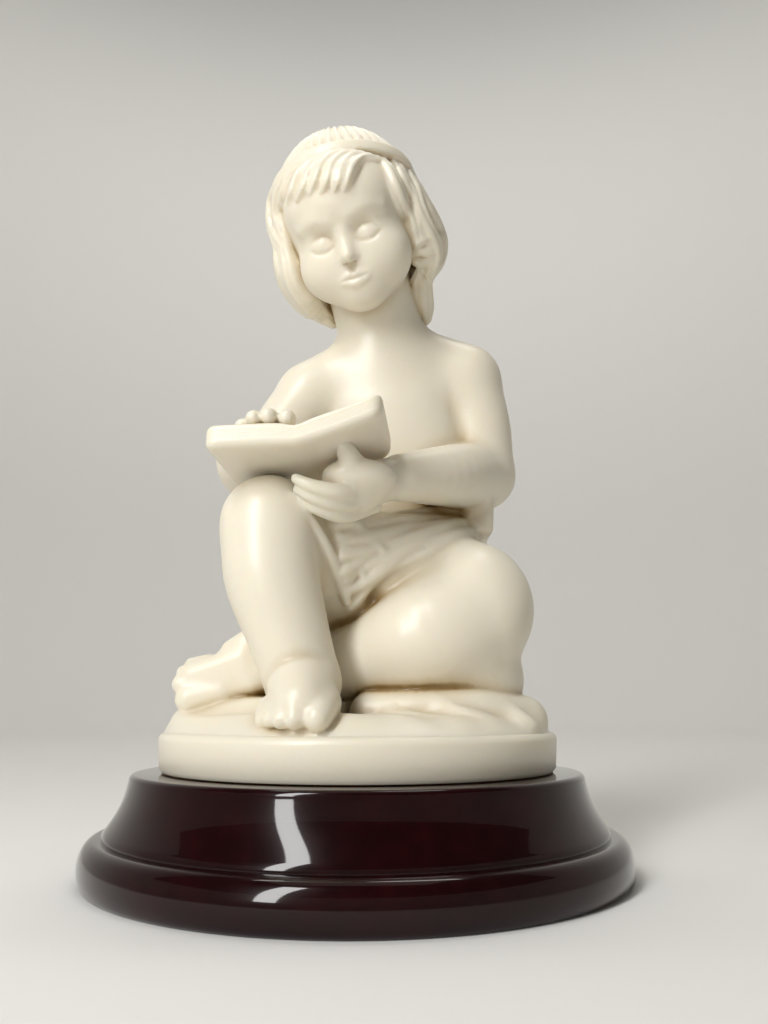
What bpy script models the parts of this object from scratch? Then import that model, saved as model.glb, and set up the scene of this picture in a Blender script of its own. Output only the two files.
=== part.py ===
# Alabaster figurine of a seated girl reading an open book, on a turned wood base
# Metres, +Z up, origin at the centre of the base's underside, the girl faces -Y
import math

import bmesh
import bpy
from mathutils import Euler, Matrix, Vector

# Turned wood base
BASE_FOOT_RADIUS = 0.0600
BASE_BULGE_RADIUS = 0.0618
BASE_BULGE_HEIGHT = 0.0090
BASE_GROOVE_DEPTH = 0.0014
BASE_WAIST_RADIUS = 0.0572
BASE_LEDGE_RADIUS = 0.0524
BASE_HEIGHT = 0.0220
BASE_EDGE_ROUND = 0.0012
BASE_SIDES = 56

# Round alabaster disc that is cast with the figure
DISC_RADIUS = 0.0466
DISC_HEIGHT = 0.0085
DISC_EDGE_ROUND = 0.0012
DISC_SIDES = 56
SEAT_CLEARANCE = 0.0003

# Rough ground between the disc and the girl
MOUND_LEDGE = 0.0010
MOUND_HEIGHT = 0.0038

# The figure from the top of the disc to the crown of her hair
FIGURE_HEIGHT = 0.1530
UNITS_IN_FIGURE = 153.0

# Open book
BOOK_PAGE_WIDTH = 0.0190
BOOK_LENGTH = 0.0255
BOOK_COVER = 0.0011
BOOK_PAGES = 0.0042
BOOK_RIGHT_RISE = math.radians(19.0)
BOOK_LEFT_RISE = math.radians(-1.0)

# Fineness of the solid
BODY_VOXEL = 0.0010
DETAIL_VOXEL = 0.00075
FIGURE_TRIANGLES = 6700

GROUND = BASE_HEIGHT + SEAT_CLEARANCE + DISC_HEIGHT
UNIT = FIGURE_HEIGHT / UNITS_IN_FIGURE

# Places on the figure, in units above the ground: x, y, z and the radius there.
# Her right side is at -x and her left side at +x.
TORSO = {
    "seat": ((9, 18, 20), (27, 19, 21)),
    "belly": ((8.8, 12, 48), (23.6, 18, 19)),
    "ribs": ((8.4, 9, 72), (22.6, 17, 22)),
    "upper chest": ((8.2, 6.4, 87), (19.6, 13.4, 13)),
    "lap": ((12.5, 0, 37), (20, 16, 15)),
    "front of the lap": ((3, -7, 42), (11, 9, 10)),
    "under the knee": ((23, -9, 12), (15.8, 12, 12)),
    "skirt": ((10, 19, 22), (28, 19, 27)),
}
LIMBS = {
    "shoulders": [(-10.8, 4, 88.6, 9), (-2.5, 5, 93.4, 9.8), (8, 5.4, 96.8, 10.4), (19, 5.8, 96.2, 10),
                  (27.8, 6, 92.8, 10.1)],
    "neck": [(7, 6, 97, 13), (4.8, 2, 107, 11.6), (1.4, -5, 118, 11.2)],
    "her left upper arm": [(27.8, 6, 92.8, 10.1), (31, 6.5, 79, 9.6), (32, 7, 66.5, 8.9)],
    "her left forearm": [(32, 7, 66, 8.9), (23, -9, 61.5, 7.9), (10, -22, 57.2, 5.7)],
    "her right upper arm": [(-10.8, 4, 88.6, 9), (-17, 0.5, 77.5, 8.5), (-25.6, -3.5, 62.8, 8)],
    "her right forearm": [(-25.6, -3.5, 62.8, 8), (-27.6, -15, 62.6, 6.8), (-24, -27.5, 63.2, 5.2)],
    "her right thigh": [(-3, 14, 24, 16), (-12, -8, 36, 13.4), (-19.5, -25.5, 45, 10)],
    "her right shin": [(-19.6, -26, 45.5, 10), (-18.6, -27.5, 34, 10.3), (-14.5, -28, 21, 8.8),
                       (-11, -27, 10, 8)],
    "her left thigh": [(22, 17, 20, 16.8), (25.8, 2, 28, 15.6), (27.2, -9, 30.5, 14.2)],
    "her left shin": [(27.8, -13, 26, 12.9), (16, -15.5, 21, 13), (4, -13, 17, 9.5), (-10, -11, 13, 7)],
}

# Her left foot lies on its side with the sole to the front, her right foot points forward
FEET = {
    "right instep": [(-11, -27, 11, 7.9), (-10.7, -34, 8.4, 6.8), (-10.4, -39, 5.8, 5.4)],
    "right big toe": [(-6.8, -36, 6.4, 4.6), (-6.2, -41, 4.9, 3.7), (-6.3, -43.2, 3.7, 2.8)],
    "right second toe": [(-11.2, -37, 6.2, 3.2), (-11.7, -41.4, 4.7, 2.4), (-11.8, -43, 3.6, 1.9)],
    "right third toe": [(-13.8, -36.4, 5.8, 3), (-14.2, -40.4, 4.4, 2.2), (-14.3, -42, 3.4, 1.8)],
    "right small toe": [(-16.2, -35, 5.4, 2.8), (-16.9, -38.4, 4, 2.1), (-17, -40, 3.2, 1.7)],
    "left ankle": [(-10, -12, 12.5, 6.4), (-18, -13.4, 14, 6.4)],
    "ground under the foot": [(-38, -14, 2.4, 3), (-28, -17, 3.2, 4), (-16, -20, 3.4, 5)],
    "left heel": [(-20, -13, 17.6, 5.6), (-25.4, -12.4, 17.2, 5.4)],
    "left heel corner": [(-18.4, -13.4, 13.4, 4.4), (-24.4, -13, 20.2, 3.4)],
    "left sole": [(-25, -14, 12.6, 5.8), (-33, -14.8, 9.8, 5), (-37, -14.8, 8.6, 4.2)],
    "left sole top": [(-25, -13, 17.4, 4), (-31, -13.6, 14.8, 3.2), (-36, -13.4, 13, 2.6)],
}
LEFT_TOE_ROOT = Vector((-35.0, -17.0, 7.8))
LEFT_TOE_STEP = Vector((0.1, 1.1, 2.5))
LEFT_TOE_RADII = (3.3, 2.3, 2.0, 1.8)

# Her left hand cups the book from below, her right hand lies over the page
HANDS = {
    "left palm": [(9.4, -22, 57.1, 4.9), (3.4, -28, 56.4, 5.5), (-2.2, -32.4, 55, 5.4), (-6.2, -34.4, 54, 4.6)],
    "left heel of the hand": [(3, -29, 52.8, 4.2), (-2.4, -32, 51.4, 4)],
    "left thumb": [(-0.4, -33, 56.6, 3.2), (-2, -36, 58.2, 2.5), (-2.7, -37.8, 60.4, 1.8)],
    "left first finger": [(-4.4, -35.4, 55.2, 3), (-8.6, -38.2, 53.9, 2.2), (-12, -37.8, 52.6, 1.6)],
    "left second finger": [(-4.2, -34.6, 52.4, 2.8), (-8.7, -37.6, 50.9, 2.2), (-12.4, -36.8, 50.2, 1.6)],
    "left third finger": [(-3.6, -33, 50, 2.6), (-8.4, -36, 48.7, 2.1), (-12.2, -35.4, 48, 1.6)],
    "left small finger": [(-2.8, -30.6, 48.6, 2.4), (-7.8, -33.4, 47, 1.9), (-11.4, -33.2, 46.3, 1.5)],
    "right palm": [(-24, -27, 63, 4.8), (-20.6, -33, 64, 4.2)],
    "right first finger": [(-18.6, -33, 64.4, 2.4), (-15, -38.4, 65, 2.1), (-14.4, -42, 64.3, 1.9)],
    "right second finger": [(-20.2, -34, 64.4, 2.3), (-18.4, -39.2, 65.2, 2), (-18.2, -42.6, 64.5, 1.8)],
    "right third finger": [(-22.6, -34, 64, 2.2), (-21.6, -39.2, 64.9, 1.9), (-21.4, -42.2, 64.3, 1.7)],
    "right small finger": [(-24.6, -33, 63.2, 1.9), (-24.4, -37.4, 64, 1.7), (-24.2, -39.8, 63.4, 1.4)],
}

# Drapery round the waist, over the lap and spread on the ground
CLOTH = {
    "cloth under the forearm": [(-4, -18, 49.6, 3.2), (2, -20, 50.6, 3.6), (10, -17.5, 52, 3.8), (19.6, -12, 54, 3.6),
                                (29, -3, 56, 3.2)],
    "lap fold 1": [(-5.4, -16.5, 46.8, 2.4), (0.4, -17, 47.8, 2.2), (9.8, -15.2, 49.8, 2.2), (19.6, -10.4, 52.2, 2.2),
                   (29.4, -2, 55, 2.4)],
    "lap fold 2": [(-4.8, -17, 43, 2.4), (1, -17.2, 44.4, 2.2), (10, -15.8, 47, 2.3), (19.5, -11, 49.8, 2.3),
                   (28.8, -3, 53, 2.4)],
    "lap fold 3": [(-3.8, -17, 38.4, 2.4), (2, -17.4, 40.6, 2.2), (10.6, -16, 44.2, 2.3), (19.4, -11.6, 47.4, 2.3),
                   (28.2, -4, 50.6, 2.4)],
    "lap fold 4": [(-2.8, -16.2, 33.4, 2.4), (2.8, -17, 36.8, 2.2), (11.2, -15.8, 41.4, 2.2), (19.4, -12, 45.2, 2.2),
                   (27.6, -5, 48.6, 2.2)],
    "hem": [(-1.8, -14.6, 28.6, 1.8), (3.4, -16.6, 33, 1.7), (11.6, -15.8, 38.6, 1.6), (19.4, -12.4, 43.1, 1.6),
            (27.1, -6, 46.6, 1.6)],
    "strip between the knees": [(-15.5, -26.4, 50, 1.8), (-12, -25.6, 46.4, 2.3), (-8.2, -23, 41, 2.7),
                                (-5, -20, 35.4, 2.8), (-2.2, -16.4, 29.4, 2.4)],
    "second strip": [(-9.6, -24.6, 47.6, 1.7), (-5.4, -22, 42.6, 2.2), (-2.6, -19.2, 37.8, 2.2), (-0.4, -17.4, 33.4, 1.9)],
    "fold under the hand": [(-12, -29, 50, 1.8), (-6, -27, 47.4, 2.2), (1, -22, 46.4, 2.4)],
    "back of the sash": [(29.5, 7, 53, 4), (28, 18, 52, 4), (18, 26, 51, 4.4), (6, 29, 50.5, 4.6),
                         (-6, 25.5, 50, 4.4), (-13, 14, 50.5, 4.2), (-12, -4, 51.5, 3.6)],
    "back of the sash, lower": [(29, 12, 46, 3.6), (20, 27, 45.5, 4), (6, 31, 44.5, 4.2), (-8, 26.5, 44, 4),
                                (-14, 14, 44.5, 3.6)],
    "spill under the shin": [(3, -18, 4.4, 4.6), (14, -20, 4.2, 5.4), (26, -19, 3.6, 6), (35.6, -14, 2.4, 5.6),
                             (39, -8, 1.6, 4.6)],
    "spill ridge": [(1.5, -20.6, 8.4, 1.4), (9.4, -24.2, 7.4, 1.9), (18, -25.6, 6.2, 2.2), (24.2, -27.4, 4.2, 2.1),
                    (28.6, -29, 1.8, 1.8)],
    "spill ridge behind": [(11, -19, 9.2, 1.7), (21, -20.6, 8.8, 2.2), (30, -21.4, 6.8, 2.4), (35.4, -22.6, 4.2, 2.4),
                           (38, -24, 1.8, 1.9)],
    "spill ridge at the knee": [(20, -15, 10, 1.8), (30.6, -13.8, 9, 2.4), (37.6, -12.8, 6.6, 2.6), (40.8, -13, 3, 2.4)],
    "spill at her side": [(38, -12, 3, 4.6), (39.6, 0, 2.8, 4.6), (36.6, 16, 2.8, 5)],
}
SKIRT_FOLDS = 13
SKIRT_FOLD_RADIUS = 3.4
SASH_END_CENTRE = (30.6, 4.2, 52.8)
SASH_END_SIZE = (7.2, 9.4, 9)

# The head is built upright round its own centre, then bowed, turned and tilted
HEAD_CENTRE = (-2.7, -14.0, 128.6)
HEAD_SIZE = 0.955
HEAD_BOW = math.radians(31)
HEAD_TURN = math.radians(-9)
HEAD_TILT = math.radians(-12)
SKULL = {
    "cranium": ((0, 3, 4), (18.2, 20, 17)),
    "forehead": ((0, -7, 5), (14.4, 12, 11)),
    "face": ((0, -5, -5.4), (14.7, 12.5, 14.7)),
    "jaw": ((0, -6, -12), (12.5, 10.5, 9.5)),
    "mouth bulge": ((0, -11.6, -14.8), (7.5, 5.5, 5.3)),
    "chin": ((0, -12, -19.2), (5, 4.5, 3.8)),
}
SKULL_SIDES = {
    "cheek": ((7.2, -11, -9.6), (7, 5.9, 6.5)),
    "closed eye": ((6.2, -14, -3.6), (4, 3.4, 3.2)),
}
FACE_MIDDLE = {
    "nose": [(0, -16.6, -1.6, 1.1), (0, -17.6, -4.8, 1.3), (0, -18.8, -8.3, 1.8)],
    "upper lip": [(-3.6, -15.9, -13.8, 0.6), (-1.4, -17.2, -13.2, 0.9), (1.4, -17.2, -13.2, 0.9),
                  (3.6, -15.9, -13.8, 0.6)],
    "lower lip": [(-2.9, -16, -14.9, 0.6), (0, -17.2, -15.5, 1.1), (2.9, -16, -14.9, 0.6)],
}
FACE_SIDES = {
    "brow": [(2.6, -17.1, 1.2, 0.9), (6.6, -16.7, 2.3, 1), (10.8, -13.8, 1.2, 0.8)],
    "upper lid": [(3.3, -15.6, -4.6, 0.45), (6.3, -16.7, -5.4, 0.55), (9.4, -14.7, -4.6, 0.45)],
    "nostril": [(1.5, -17.6, -8.9, 1), (2.1, -17, -8.8, 0.9)],
}

# Hair: full at the sides and nape, a plain band round it, ridges over the crown, wavy locks below the band
HAIR_CENTRE = Vector((-0.9, 7.2, 5))
HAIR_MASSES = {
    "cap": ((-0.9, 7.2, 5), (20.2, 19.2, 19.6)),
    "right wave": ((-18.4, 2, 0), (4.6, 8.8, 9.5)),
    "right lower wave": ((-18.2, 1.6, -12.6), (5.2, 8.4, 8.6)),
    "left wave": ((17, 3, 0), (4.6, 8.8, 9.5)),
    "left lower wave": ((18.2, 2.4, -9.4), (5.2, 8.4, 8)),
    "back": ((0, 13.6, -7), (19, 12, 15)),
    "nape": ((1, 11.4, -18), (15.4, 9.6, 10)),
}
CROWN_FACING = Vector((0.023, 0.484, 0.875))
BAND_FROM_POLE = math.radians(72.5)
BAND_RADIUS = 1.5
CROWN_RIDGES = 22
CROWN_RIDGE_RADIUS = 1.5
FALLING_LOCKS = 20
FALLING_LOCK_RADIUS = 2.4
FRINGE = (
    [(12.6, -8.1, 12.6, 1.3), (9.2, -11, 13.3, 1.6), (6.4, -16, 11.2, 1.9), (4.4, -18.2, 8, 1.2)],
    [(10, -9.3, 14.3, 1.3), (5.8, -11.5, 15, 1.6), (3, -16, 12.8, 1.9), (-0.2, -18.6, 8, 1.2)],
    [(7, -10, 15.6, 1.3), (2.5, -11.5, 16.1, 1.6), (-0.9, -14.8, 14, 1.9), (-5, -17.6, 8.9, 1.2)],
    [(4.6, -10.5, 16.3, 1.3), (-1.4, -11.5, 16.3, 1.6), (-5, -13.6, 14, 1.9), (-9.4, -15.2, 8.8, 1.2)],
    [(0.4, -10.8, 16.6, 1.3), (-5, -10.2, 16.5, 1.6), (-9.2, -10, 14.6, 1.9), (-13.4, -9.4, 10, 1.2)],
)
TEMPLE_LOCKS = (
    [(-6.4, -9.6, 16.4, 1.6), (-15.8, -4.1, 13.4, 2.3), (-19, -2.6, 7, 2.4), (-17.5, -5, -0.3, 2), (-16.7, -5.1, -3.1, 1.2)],
    [(-10.7, -5.7, 16.8, 1.6), (-19.6, 1.9, 13.1, 2.4), (-22, 0.8, 6.1, 2.4), (-19.3, -5.3, -1.4, 1.7)],
    [(-17.1, -5.2, -2.7, 1.6), (-16.6, -5.2, -10, 2.6), (-15.8, 1.7, -18.4, 2.4), (-14.4, 5.2, -22.2, 1.3)],
    [(-19.2, -5.1, -0.9, 1.8), (-19.6, -6, -8.2, 2.9), (-18.4, -2.9, -16.5, 2.7), (-14.6, 4.6, -24.2, 1.3)],
    [(-21.7, -2.6, 0.7, 1.7), (-22.3, -3.8, -6.3, 2.5), (-21.6, -2.4, -13.9, 2.3), (-20.1, -0.4, -17.9, 1.8)],
    [(14.1, -6.7, 11.8, 1.6), (15.6, -8.9, 4.8, 2.7), (16, -4.9, -2.5, 2.5), (15.2, -4, -9.7, 1.7)],
    [(16.4, -1, 11.9, 1.6), (17.9, -3.6, 4.5, 2.4), (18.4, -5.2, -3, 2.2), (17.6, -4.9, -9.4, 1.3)],
    [(18.1, 1.8, 10.4, 1.6), (20.1, -3.7, -1.4, 2.4), (21.4, -1.1, -12, 2.6), (18.3, 0.2, -17.6, 1.7)],
    [(19.5, 5.9, 7.8, 1.6), (22.4, 0.6, -3.9, 2.4), (22, 5.1, -14.3, 2.4), (17.1, 4, -19.6, 1.4)],
    [(18.7, 1, -17.8, 1.6), (14.2, 4.5, -22.9, 2.5), (12.3, 5.6, -29.6, 2), (12.3, 5.8, -32.5, 1.3)],
    [(15.6, 0.2, -16.8, 1.5), (11.4, 4, -23.4, 2.3), (10.6, 5.4, -30, 1.5)],
)

ALABASTER_COLOUR = (0.79, 0.73, 0.60, 1.0)
WOOD_COLOUR = (0.020, 0.003, 0.004, 1.0)


def clear_scene():
    for old in list(bpy.data.objects):
        bpy.data.objects.remove(old, do_unlink=True)


def material(name, colour, roughness):
    made = bpy.data.materials.new(name)
    made.use_nodes = True
    shader = made.node_tree.nodes["Principled BSDF"]
    shader.inputs["Base Color"].default_value = colour
    shader.inputs["Roughness"].default_value = roughness
    shader.inputs["Metallic"].default_value = 0.0
    return made


def add_object(name, mesh):
    made = bpy.data.objects.new(name, mesh)
    bpy.context.scene.collection.objects.link(made)
    return made


def as_mesh(source, name):
    """A plain mesh of an object as its modifiers leave it, and the object is gone."""
    depsgraph = bpy.context.evaluated_depsgraph_get()
    mesh = bpy.data.meshes.new_from_object(source.evaluated_get(depsgraph), depsgraph=depsgraph)
    mesh.name = name
    bpy.data.objects.remove(source, do_unlink=True)
    return mesh


def on_figure(point):
    """Figure units above the ground to metres."""
    x, y, z = point
    return Vector((x * UNIT, y * UNIT, GROUND + z * UNIT))


def head_matrix():
    turn = Matrix.Rotation(HEAD_TURN, 4, "Z") @ Matrix.Rotation(HEAD_BOW, 4, "X") @ Matrix.Rotation(HEAD_TILT, 4, "Y")
    return Matrix.Translation(Vector(HEAD_CENTRE)) @ turn @ Matrix.Scale(HEAD_SIZE, 4)


def on_head(point):
    return head_matrix() @ Vector(point)


def head_ball(centre, radii):
    return on_head(centre), Vector(radii) * HEAD_SIZE, head_matrix().to_quaternion().to_matrix()


# Soft forms: tapered round limbs along smooth curves, and ellipsoids
def limbs_mesh(limbs, name):
    curve = bpy.data.curves.new(name, "CURVE")
    curve.dimensions = "3D"
    curve.bevel_depth = UNIT
    curve.bevel_resolution = 3
    curve.resolution_u = 5
    curve.use_fill_caps = True
    for points in limbs:
        spline = curve.splines.new("BEZIER")
        spline.bezier_points.add(len(points) - 1)
        for knot, (x, y, z, radius) in zip(spline.bezier_points, points):
            knot.co = on_figure((x, y, z))
            knot.radius = radius
            knot.handle_left_type = "AUTO"
            knot.handle_right_type = "AUTO"
    return as_mesh(add_object(name, curve), name)


def add_ball(bm, centre, radii, turn=None):
    """An ellipsoid in figure units, turned round its centre."""
    size = Matrix.Diagonal((radii[0] * UNIT, radii[1] * UNIT, radii[2] * UNIT, 1.0))
    place = Matrix.Translation(on_figure(centre))
    if turn is not None:
        place = place @ turn.to_4x4()
    bmesh.ops.create_uvsphere(bm, u_segments=20, v_segments=12, radius=1.0, matrix=place @ size)


def round_forms(name, balls, limbs, extra=()):
    """Ellipsoids and limbs in one mesh, still overlapping."""
    bm = bmesh.new()
    for centre, radii, turn in balls:
        add_ball(bm, centre, radii, turn)
    for points in limbs:
        for x, y, z, radius in (points[0], points[-1]):
            add_ball(bm, (x, y, z), (radius, radius, radius))
    bm.from_mesh(limbs_mesh(limbs, name + "_tubes"))
    for mesh in extra:
        bm.from_mesh(mesh)
    mesh = bpy.data.meshes.new(name)
    bm.to_mesh(mesh)
    bm.free()
    return mesh


def one_skin(mesh, voxel, smoothing):
    """Overlapping forms grown together into one closed, softened skin."""
    made = add_object(mesh.name, mesh)
    remesh = made.modifiers.new("Skin", "REMESH")
    remesh.mode = "VOXEL"
    remesh.voxel_size = voxel
    smooth = made.modifiers.new("Soften", "SMOOTH")
    smooth.factor = 0.5
    smooth.iterations = smoothing
    return as_mesh(made, mesh.name)


def body_mesh():
    balls = [(centre, radii, None) for centre, radii in TORSO.values()]
    return one_skin(round_forms("body", balls, list(LIMBS.values())), BODY_VOXEL, 10)


def on_head_limb(points):
    placed = []
    for x, y, z, radius in points:
        placed.append((*on_head((x, y, z)), radius * HEAD_SIZE))
    return placed


def mirrored(points):
    return [(-x, y, z, radius) for x, y, z, radius in points]


def head_mesh():
    balls = [head_ball(centre, radii) for centre, radii in SKULL.values()]
    for (x, y, z), radii in SKULL_SIDES.values():
        balls.append(head_ball((x, y, z), radii))
        balls.append(head_ball((-x, y, z), radii))
    limbs = [on_head_limb(points) for points in FACE_MIDDLE.values()]
    for points in FACE_SIDES.values():
        limbs.append(on_head_limb(points))
        limbs.append(on_head_limb(mirrored(points)))
    return one_skin(round_forms("head", balls, limbs), DETAIL_VOXEL, 4)


def hair_surface(facing):
    """How far the outermost hair form reaches from the middle of the cap in one direction."""
    reach = 0.0
    for centre, radii in HAIR_MASSES.values():
        start = [(HAIR_CENTRE[axis] - centre[axis]) / radii[axis] for axis in range(3)]
        way = [facing[axis] / radii[axis] for axis in range(3)]
        a = sum(value * value for value in way)
        b = sum(first * second for first, second in zip(start, way))
        c = sum(value * value for value in start) - 1.0
        inside = b * b - a * c
        if inside > 0:
            reach = max(reach, (-b + math.sqrt(inside)) / a)
    return reach


def hair_place(around, fall, lift):
    """A point on the hair: the angle round the crown's pole, the angle down from it, and a lift."""
    pole = CROWN_FACING.normalized()
    first = pole.cross(Vector((0, 1, 0))).normalized()
    second = pole.cross(first)
    facing = pole * math.cos(fall) + (first * math.cos(around) + second * math.sin(around)) * math.sin(fall)
    return HAIR_CENTRE + facing * (hair_surface(facing) + lift)


def crown_ridges():
    """Ridges that run back from the band to the crown."""
    ridges = []
    for index in range(CROWN_RIDGES):
        around = math.tau * index / CROWN_RIDGES
        ridge = []
        for fall in (70, 52, 34, 18):
            place = hair_place(around, math.radians(fall), -0.5)
            ridge.append((*place, CROWN_RIDGE_RADIUS * (0.6 + 0.4 * fall / 70)))
        ridges.append(ridge)
    return ridges


def falling_locks():
    """Wavy locks from the band down over the back and sides, and none over the face."""
    locks = []
    for index in range(FALLING_LOCKS):
        around = math.radians(153 + 234 * index / (FALLING_LOCKS - 1))
        lock = []
        for step in range(7):
            fall = math.radians(78 + 11 * step)
            sway = around + 0.12 * math.sin(5.2 * fall + 2 * around)
            size = FALLING_LOCK_RADIUS * (0.75 + 0.3 * math.sin(math.pi * step / 6))
            lock.append((*hair_place(sway, fall, -0.8), size))
        locks.append(lock)
    return locks


def headband():
    """The plain band, drawn as three close rings on the cap."""
    band = []
    for offset in (-0.045, 0.0, 0.045):
        ring = []
        for index in range(33):
            ring.append((*hair_place(math.tau * index / 32, BAND_FROM_POLE + offset, -0.3), BAND_RADIUS))
        band.append(ring)
    return band


def hair_mesh():
    balls = [head_ball(centre, radii) for centre, radii in HAIR_MASSES.values()]
    locks = list(FRINGE) + list(TEMPLE_LOCKS) + crown_ridges() + falling_locks() + headband()
    limbs = [on_head_limb(points) for points in locks]
    return round_forms("hair", balls, limbs)


def left_toes():
    toes = []
    for index, radius in enumerate(LEFT_TOE_RADII):
        root = LEFT_TOE_ROOT + LEFT_TOE_STEP * index
        tip = root + Vector((-4.6 + 0.4 * index, 0.1, -0.3))
        toes.append([(*root, radius), (*tip, radius * 0.9)])
    return toes


def skirt_folds():
    """Folds that fall from the sash round her back and spread on the ground."""
    centre, radii = TORSO["skirt"]
    folds = []
    for index in range(SKIRT_FOLDS):
        angle = math.radians(-72 + 146 * index / (SKIRT_FOLDS - 1) + 4 * math.sin(2.4 * index))
        fold = []
        for height, out, size in ((46, 0.5, 0.8), (34, 0.8, 1), (20, 0.91, 1.05), (8, 0.93, 1.1), (2, 0.95, 1.15)):
            x = centre[0] + radii[0] * out * math.sin(angle)
            y = centre[1] + radii[1] * out * math.cos(angle)
            fold.append((x, y, height, SKIRT_FOLD_RADIUS * size))
        folds.append(fold)
    return folds


def sash_end_mesh():
    bm = bmesh.new()
    size = Matrix.Diagonal((SASH_END_SIZE[0] * UNIT, SASH_END_SIZE[1] * UNIT, SASH_END_SIZE[2] * UNIT, 1.0))
    place = Matrix.Translation(on_figure(SASH_END_CENTRE)) @ Matrix.Rotation(math.radians(8), 4, "Y")
    bmesh.ops.create_cube(bm, size=1.0, matrix=place @ size)
    mesh = bpy.data.meshes.new("sash_end")
    bm.to_mesh(mesh)
    bm.free()
    return mesh


def cloth_and_hands_mesh():
    limbs = list(FEET.values()) + left_toes() + list(HANDS.values()) + list(CLOTH.values()) + skirt_folds()
    return round_forms("details", [], limbs, [sash_end_mesh()])


def mound_mesh():
    """Low uneven ground, its rim a little inside the disc."""
    bm = bmesh.new()
    reach = DISC_RADIUS - MOUND_LEDGE
    rings = 6
    sides = 48
    for level in range(rings + 1):
        share = level / rings
        for index in range(sides):
            angle = math.tau * index / sides
            uneven = 1.0 - 0.018 * (1 + math.sin(3 * angle + 0.7)) - 0.012 * (1 + math.sin(7 * angle))
            radius = reach * uneven * (1.0 - 0.1 * share ** 4)
            height = MOUND_HEIGHT * math.sin(share * math.pi * 0.5)
            bm.verts.new((radius * math.cos(angle), radius * math.sin(angle), GROUND + height))
    for index in range(sides):
        angle = math.tau * index / sides
        bm.verts.new((reach * 0.96 * math.cos(angle), reach * 0.96 * math.sin(angle), GROUND - DISC_HEIGHT * 0.4))
    bm.verts.ensure_lookup_table()
    for level in range(rings):
        for index in range(sides):
            after = (index + 1) % sides
            low, high = level * sides, (level + 1) * sides
            bm.faces.new([bm.verts[i] for i in (low + index, low + after, high + after, high + index)])
    under = (rings + 1) * sides
    for index in range(sides):
        after = (index + 1) % sides
        bm.faces.new([bm.verts[i] for i in (under + index, under + after, after, index)])
    bm.faces.new([bm.verts[rings * sides + i] for i in range(sides)])
    bm.faces.new([bm.verts[under + i] for i in reversed(range(sides))])
    bmesh.ops.recalc_face_normals(bm, faces=bm.faces)
    mesh = bpy.data.meshes.new("mound")
    bm.to_mesh(mesh)
    bm.free()
    return mesh


def turned_object(name, profile, sides):
    """A solid turned round the Z axis from a profile of (radius, height) that runs from top to bottom."""
    mesh = bpy.data.meshes.new(name)
    mesh.from_pydata([(radius, 0.0, height) for radius, height in profile],
                     [(index, index + 1) for index in range(len(profile) - 1)], [])
    made = add_object(name, mesh)
    screw = made.modifiers.new("Turn", "SCREW")
    screw.axis = "Z"
    screw.angle = math.tau
    screw.steps = sides
    screw.render_steps = sides
    screw.use_merge_vertices = True
    screw.merge_threshold = 0.00005
    return made


def arc(centre_radius, centre_height, across, up, start, end, steps):
    """Profile points on part of an ellipse, angles in degrees from straight out."""
    points = []
    for index in range(steps + 1):
        angle = math.radians(start + (end - start) * index / steps)
        points.append((centre_radius + across * math.cos(angle), centre_height + up * math.sin(angle)))
    return points


def disc_object():
    bottom = BASE_HEIGHT + SEAT_CLEARANCE
    edge = DISC_RADIUS - DISC_EDGE_ROUND
    profile = [(0.0, GROUND)]
    profile += arc(edge, GROUND - DISC_EDGE_ROUND, DISC_EDGE_ROUND, DISC_EDGE_ROUND, 90, 0, 4)
    profile += [(DISC_RADIUS - DISC_EDGE_ROUND * 0.3, bottom + DISC_EDGE_ROUND * 0.5), (edge + DISC_EDGE_ROUND * 0.3, bottom)]
    profile += [(0.0, bottom)]
    return turned_object("disc_form", profile, DISC_SIDES)


def base_object():
    """Rounded foot, a groove, and a slope up to the flat ledge."""
    groove = BASE_BULGE_HEIGHT
    bulge_middle = BASE_BULGE_HEIGHT * 0.42
    top_round = BASE_EDGE_ROUND
    profile = [(0.0, BASE_HEIGHT)]
    profile += arc(BASE_LEDGE_RADIUS - top_round, BASE_HEIGHT - top_round, top_round, top_round, 90, 0, 3)
    slope_top = (BASE_LEDGE_RADIUS, BASE_HEIGHT - top_round)
    slope_foot = (BASE_WAIST_RADIUS, groove + BASE_GROOVE_DEPTH * 0.6)
    for index in range(1, 4):
        share = index / 3
        hollow = 0.0009 * math.sin(share * math.pi)
        radius = slope_top[0] + (slope_foot[0] - slope_top[0]) * share - hollow
        height = slope_top[1] + (slope_foot[1] - slope_top[1]) * share
        profile.append((radius, height))
    profile.append((BASE_WAIST_RADIUS, groove))
    lip = BASE_WAIST_RADIUS + BASE_GROOVE_DEPTH
    across = BASE_BULGE_RADIUS - lip
    profile += arc(lip, bulge_middle, across, BASE_BULGE_HEIGHT - bulge_middle, 90, 0, 5)
    profile += arc(BASE_FOOT_RADIUS, bulge_middle, BASE_BULGE_RADIUS - BASE_FOOT_RADIUS, bulge_middle, -25, -90, 3)
    profile.append((0.0, 0.0))
    return turned_object("wood_base", profile, BASE_SIDES)


def book_half(hand, rise):
    """Half of the section across the open book, from the gutter out to the fore edge: cover line and page line."""
    cover = []
    pages = []
    steps = 6
    for index in range(steps + 1):
        share = index / steps
        out = BOOK_PAGE_WIDTH * share
        up = BOOK_PAGE_WIDTH * math.sin(rise) * share * share ** 0.25
        swell = math.sin(min(1.0, share * 2.6) * math.pi * 0.5) ** 0.7
        thick = BOOK_COVER + BOOK_PAGES * (0.45 + 0.55 * swell) - 0.0007 * share
        cover.append((hand * out * math.cos(rise), up))
        pages.append((hand * (out - 0.0004 * (share > 0.9)) * math.cos(rise), up + thick))
    return cover, pages


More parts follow.
